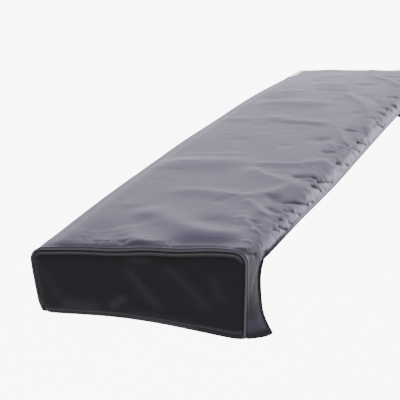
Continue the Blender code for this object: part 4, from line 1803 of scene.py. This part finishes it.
@dataclass
class EndPanel:
    """The cloth that closes one end, inside its piping."""

    form: CoverForm
    end: End
    hem: Hem = field(default_factory=Hem)
    single: float = 0.0007
    doubled: float = 0.0014
    inset: float = 0.0003
    corner: float = 0.0008
    arch: float = 0.0074
    arch_half_width: float = 0.140
    arch_curve: float = 1.7
    hem_tuck: float = 0.0022
    hem_tuck_height: float = 0.0085
    hem_calm: tuple[float, float] = (0.002, 0.005)
    # painted light on the black cloth: a highlight where it turns at the seam, light in the groove
    # beside the seam, a highlight along the fold at the top of the hem and highlights on the fold
    # crests
    turned_at: float = 0.0044
    turned_width: float = 0.0018
    turned_rise: tuple[float, float] = (0.86, 0.95)
    groove_light: float = 0.35
    groove_reach: tuple[float, float] = (0.0016, 0.0034)
    hem_line_width: float = 0.0014
    hem_line_light: float = 0.30
    crest_height: float = 0.0022
    crest_light: float = 0.13
    calm: float = 0.012
    columns: int = 130
    rows: int = 40
    seam_points: int = 400

    @property
    def seam_lines(self) -> np.ndarray:
        """Distances from the seam at which the cloth's grid has a line."""
        return np.array([0, 0.5, 0.9, 1.3, 1.7, 2.1, 2.5, 3.0, 3.6, 4.4, 5.6, 7.6, 10.0]) * MM

    def seam(self, shares: np.ndarray) -> np.ndarray:
        """The y and height of the cloth's edge at shares of the seam's length."""
        return np.stack(self.form.seam_line(shares, self.end, self.inset)[:2], axis=-1)

    def grid(self) -> tuple[np.ndarray, np.ndarray]:
        """Lays out the cloth's grid between the seam and the bowed hem.

        Returns:
            The y and height of each point, and each row's share of the way up.
        """
        form = self.form
        total = form.seam_line(np.zeros(1), self.end)[2]
        front_corner = (form.front_wall_top + form.front_round * math.pi / 4) / total
        back_corner = 1 - (form.back_wall_top + form.back_round * math.pi / 4) / total
        across = spaced(form.depth, self.seam_lines, self.seam_lines, self.columns)
        up = spaced(form.front_height, self.hem.rows, self.seam_lines, self.rows)
        front = self.seam(up * front_corner)
        back = self.seam(1 - up * (1 - back_corner))
        top = self.seam(front_corner + across * (back_corner - front_corner))
        hem_y = front[0, 0] + (back[0, 0] - front[0, 0]) * across
        bow = np.clip(1 - (hem_y / self.arch_half_width) ** 2, 0, 1) ** self.arch_curve
        bottom = np.stack([hem_y, self.corner + self.arch * bow], axis=-1)
        return filled(across, up, (front, back, bottom, top)), up

    def bulge(self, folds: np.ndarray, from_seam: np.ndarray, distance: np.ndarray) -> np.ndarray:
        """How far the cloth stands out past the plane of its seam.

        Args:
            folds: How far the folds lift each point.
            from_seam: How far it is from the seam.
            distance: How far it is from the hem's edge.

        Returns:
            The distance of each point past that plane.
        """
        steps, outs = np.array(PANEL_TURN).T * MM
        out = through(steps, outs, from_seam + self.inset)
        out = out + folds * ramp(from_seam, 0, self.calm)
        out = out - self.hem_tuck * (1 - ramp(distance, 0, self.hem_tuck_height))
        return out + self.hem.lift(distance) * ramp(from_seam, *self.hem_calm)

    def shade(
        self, folds: np.ndarray, from_seam: np.ndarray, distance: np.ndarray, up: np.ndarray
    ) -> np.ndarray:
        """How much painted light the cloth gets: a painted highlight where it turns at the seam,
        painted light in the groove beside it, and painted highlights along the fold at the top of
        its hem and on its crests.

        Args:
            folds: How far the folds lift each point.
            from_seam: How far it is from the seam.
            distance: How far it is from the hem's edge.
            up: Each row's share of the way up.

        Returns:
            A share from 0 to 1 for each point.
        """
        turned = np.exp(-(((from_seam - self.turned_at) / self.turned_width) ** 2))
        turned = turned * ramp(up, *self.turned_rise)
        hem_fold = np.exp(-(((distance - self.hem.width) / self.hem_line_width) ** 2))
        crests = self.crest_light * ramp(folds, 0, self.crest_height)
        groove = self.groove_light * (1 - ramp(from_seam, *self.groove_reach))
        return np.max([turned, groove, self.hem_line_light * hem_fold, crests], axis=0)

    def build(self) -> list[bpy.types.Object]:
        """Makes the end panel.

        Returns:
            The cloth alone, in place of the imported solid.
        """
        form, end = self.form, self.end
        flat, up = self.grid()
        y, z = flat[..., 0], flat[..., 1]
        edge_y, edge_z = self.seam(np.linspace(0, 1, self.seam_points)).T
        from_seam = np.min(np.hypot(y[..., None] - edge_y, z[..., None] - edge_z), axis=-1)
        distance = np.broadcast_to(up * form.front_height, y.shape)
        folds = sum(fold_height(y, z, fold) for fold in END_FOLDS)
        out = self.bulge(folds, from_seam, distance)
        points = np.stack([end.value * (form.half_length + out), y, z - form.rest_height], axis=-1)
        thickness = np.where(distance < self.hem.width, self.doubled, self.single)
        grids = [points, flat, thickness, self.shade(folds, from_seam, distance, up)]
        if end is End.FAR:
            grids = [grid[::-1] for grid in grids]
        piece = ClothSheet(f"end_cloth_{end.word}", *grids).build(BLACK_NYLON.material())
        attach(piece, ROOT_BODY)
        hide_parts(f"end_panel_{end.word}")
        return [piece]


@dataclass
class Piping:
    """The covered cord along one end seam."""

    form: CoverForm
    end: End
    radius: float = 0.0015
    end_share: float = 0.0058
    steps: int = 260

    def build(self) -> list[bpy.types.Object]:
        """Makes the piping.

        Returns:
            The cord alone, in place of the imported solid.
        """
        form = self.form
        shares = np.linspace(self.end_share, 1 - self.end_share, self.steps + 1)
        y, z, _ = form.seam_line(shares, self.end)
        x = np.full_like(y, self.end.value * form.half_length)
        line = np.stack([x, y, z - form.rest_height], axis=-1)
        piece = round_cord(f"piping_cord_{self.end.word}", line, self.radius)
        piece.data.materials.append(PIPING_CLOTH.material())
        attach(piece, ROOT_BODY)
        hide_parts(f"piping_{self.end.word}")
        return [piece]


@dataclass
class Label:
    """A blank woven label that lies along the front edge, at the far end."""

    form: CoverForm
    thickness: float = 0.0006
    gap: float = 0.0004
    columns: int = 60
    rows: int = 18

    def build(self) -> list[bpy.types.Object]:
        """Makes the label.

        Returns:
            The label alone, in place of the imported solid.
        """
        form = self.form
        x = form.label_x + form.label_length * np.linspace(-0.5, 0.5, self.columns + 1)[:, None]
        w = form.label_w + form.label_width * np.linspace(-0.5, 0.5, self.rows + 1)[None, :]
        x, w = np.broadcast_arrays(x, w)
        points = form.surface(x, w, form.cloth / 2 + self.gap + self.thickness)
        flat = np.stack([x, w], axis=-1)
        sheet = ClothSheet("woven_label", points, flat, np.full(x.shape, self.thickness))
        piece = sheet.build(LABEL_TAPE.material())
        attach(piece, ROOT_BODY)
        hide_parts("label")
        return [piece]


@dataclass(frozen=True)
class Softbox:
    """A rectangular lamp, with its power in watts, that glossy cloth may mirror or not."""

    name: str
    place: tuple[float, float, float]
    aim: tuple[float, float, float]
    size: tuple[float, float]
    power: float
    mirrored: bool = True

    def hang(self, tint: tuple[float, float, float]) -> None:
        """Hangs the lamp where the camera does not see it.

        Args:
            tint: The colour of its light.
        """
        data = bpy.data.lights.new(self.name, "AREA")
        data.shape = "RECTANGLE"
        data.size, data.size_y = self.size
        data.energy = self.power
        data.color = tint
        lamp = bpy.data.objects.new(self.name, data)
        bpy.context.scene.collection.objects.link(lamp)
        lamp.location = self.place
        aimed = Vector(self.aim) - Vector(self.place)
        lamp.rotation_euler = aimed.to_track_quat("-Z", "Y").to_euler()
        lamp.visible_camera = False
        lamp.visible_glossy = self.mirrored


SOFTBOXES = (
    Softbox("overhead", (0.55, -0.1, 2.0), (0.55, 0, 0), (1.8, 1.4), 20),
    Softbox("behind", (-1.2, 0.42, -0.12), (-0.25, 0.16, -0.02), (0.8, 0.5), 0.75),
    Softbox("far", (-0.64, -0.14, 0.18), (-0.62, -0.13, 0), (0.12, 0.06), 0.85, mirrored=False),
)


@dataclass
class Studio:
    """The floor, lights and camera."""

    form: CoverForm
    floor_drop: float = 0.80
    floor_size: float = 400.0
    floor_colour: tuple[float, float, float] = (0.86, 0.86, 0.87)
    floor_roughness: float = 0.9
    floor_glow: float = 1.2
    floor_tint: tuple[float, float, float] = (0.90, 0.88, 1.0)
    backdrop_glow: float = 7.0
    backdrop_tint: tuple[float, float, float] = (0.98, 0.99, 1.0)
    lamp_tint: tuple[float, float, float] = (0.93, 0.92, 1.0)
    surround_tint: tuple[float, float, float] = (0.92, 0.905, 1.0)
    bright_side: tuple[float, float, float] = (-0.80, 0.45, 0.40)
    bright_span: tuple[float, float] = (-0.4, 1.0)
    bright: float = 1.5
    dim: float = 0.30
    lens: float = 115.76
    sensor: float = 36.0
    azimuth: float = 109.073
    elevation: float = 16.399
    roll: float = 0.514
    place: tuple[float, float, float] = (2.1386, 0.5936, 0.6369)

    def floor(self) -> bpy.types.Object:
        """Lays a plain pale floor well below the cover, which is held up from inside.

        Returns:
            The floor, brighter to the camera than to the cloth.
        """
        deselect_all()
        bpy.ops.mesh.primitive_plane_add(
            size=self.floor_size, location=(0, 0, -self.form.rest_height - self.floor_drop)
        )
        piece = bpy.context.object
        piece.name = "floor"
        finish = bpy.data.materials.new("pale floor")
        finish.use_nodes = True
        net = NodeNet(finish.node_tree)
        shader = finish.node_tree.nodes["Principled BSDF"]
        shader.inputs["Base Color"].default_value = (*self.floor_colour, 1)
        shader.inputs["Roughness"].default_value = self.floor_roughness
        seen = net.add("ShaderNodeLightPath").outputs["Is Camera Ray"]
        tint = net.mix(seen, self.floor_tint, self.backdrop_tint)
        net.feed(shader.inputs["Emission Color"], tint)
        glow = net.maths("MULTIPLY_ADD", seen, self.backdrop_glow, self.floor_glow)
        net.feed(shader.inputs["Emission Strength"], glow)
        piece.data.materials.append(finish)
        return piece

    def lights(self) -> None:
        """Lights the cover softly from above and behind, with a pale surround."""
        world = bpy.data.worlds.new("studio")
        bpy.context.scene.world = world
        world.use_nodes = True
        net = NodeNet(world.node_tree)
        surround = world.node_tree.nodes["Background"]
        surround.inputs["Color"].default_value = (*self.surround_tint, 1)
        towards = net.add("ShaderNodeVectorMath")
        towards.operation = "DOT_PRODUCT"
        net.feed(towards.inputs[0], net.add("ShaderNodeTexCoord").outputs["Generated"])
        net.feed(towards.inputs[1], Vector(self.bright_side).normalized())
        low, high = self.bright_span
        spans = {"From Min": low, "From Max": high, "To Min": self.dim, "To Max": self.bright}
        span = net.add("ShaderNodeMapRange", {"Value": towards.outputs["Value"], **spans})
        span.interpolation_type = "SMOOTHSTEP"
        net.feed(surround.inputs["Strength"], span.outputs["Result"])
        for softbox in SOFTBOXES:
            softbox.hang(self.lamp_tint)

    def camera(self) -> None:
        """Puts the camera at the photograph's place and angle."""
        a, e, r = (math.radians(v) for v in (self.azimuth, self.elevation, self.roll))
        back = Vector((math.sin(a) * math.cos(e), -math.cos(a) * math.cos(e), math.sin(e)))
        right = Vector((0, 0, 1)).cross(back).normalized()
        up = back.cross(right)
        turned = right * math.cos(r) + up * math.sin(r)
        upright = up * math.cos(r) - right * math.sin(r)
        data = bpy.data.cameras.new("camera")
        data.lens = self.lens
        data.sensor_width = self.sensor
        seen = bpy.data.objects.new("camera", data)
        bpy.context.scene.collection.objects.link(seen)
        x, y, z = self.place
        turn = Matrix((turned, upright, back)).transposed().to_4x4()
        seen.matrix_world = Matrix.Translation((x, y, z - self.form.rest_height)) @ turn
        bpy.context.scene.camera = seen


def rounded(box: Sequence[Vector]) -> list[list[float]]:
    """A box's corners as plain numbers."""
    return [[round(float(value), 5) for value in corner] for corner in box]


def main() -> None:
    """Builds the cover's pieces in order, then the studio around them."""
    logging.basicConfig(level=logging.INFO, format="%(name)s: %(message)s")
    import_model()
    form = CoverForm()
    studio = Studio(form)
    studio.camera()
    builders = [MainPanel(form), Label(form)]
    for end in End:
        builders += [EndPanel(form, end), Piping(form, end)]
    for builder in builders:
        for piece in builder.build():
            LOG.info("%s: %d faces", piece.name, len(piece.data.polygons))
    studio.floor()
    studio.lights()
    deselect_all()


if __name__ == "__main__":
    main()
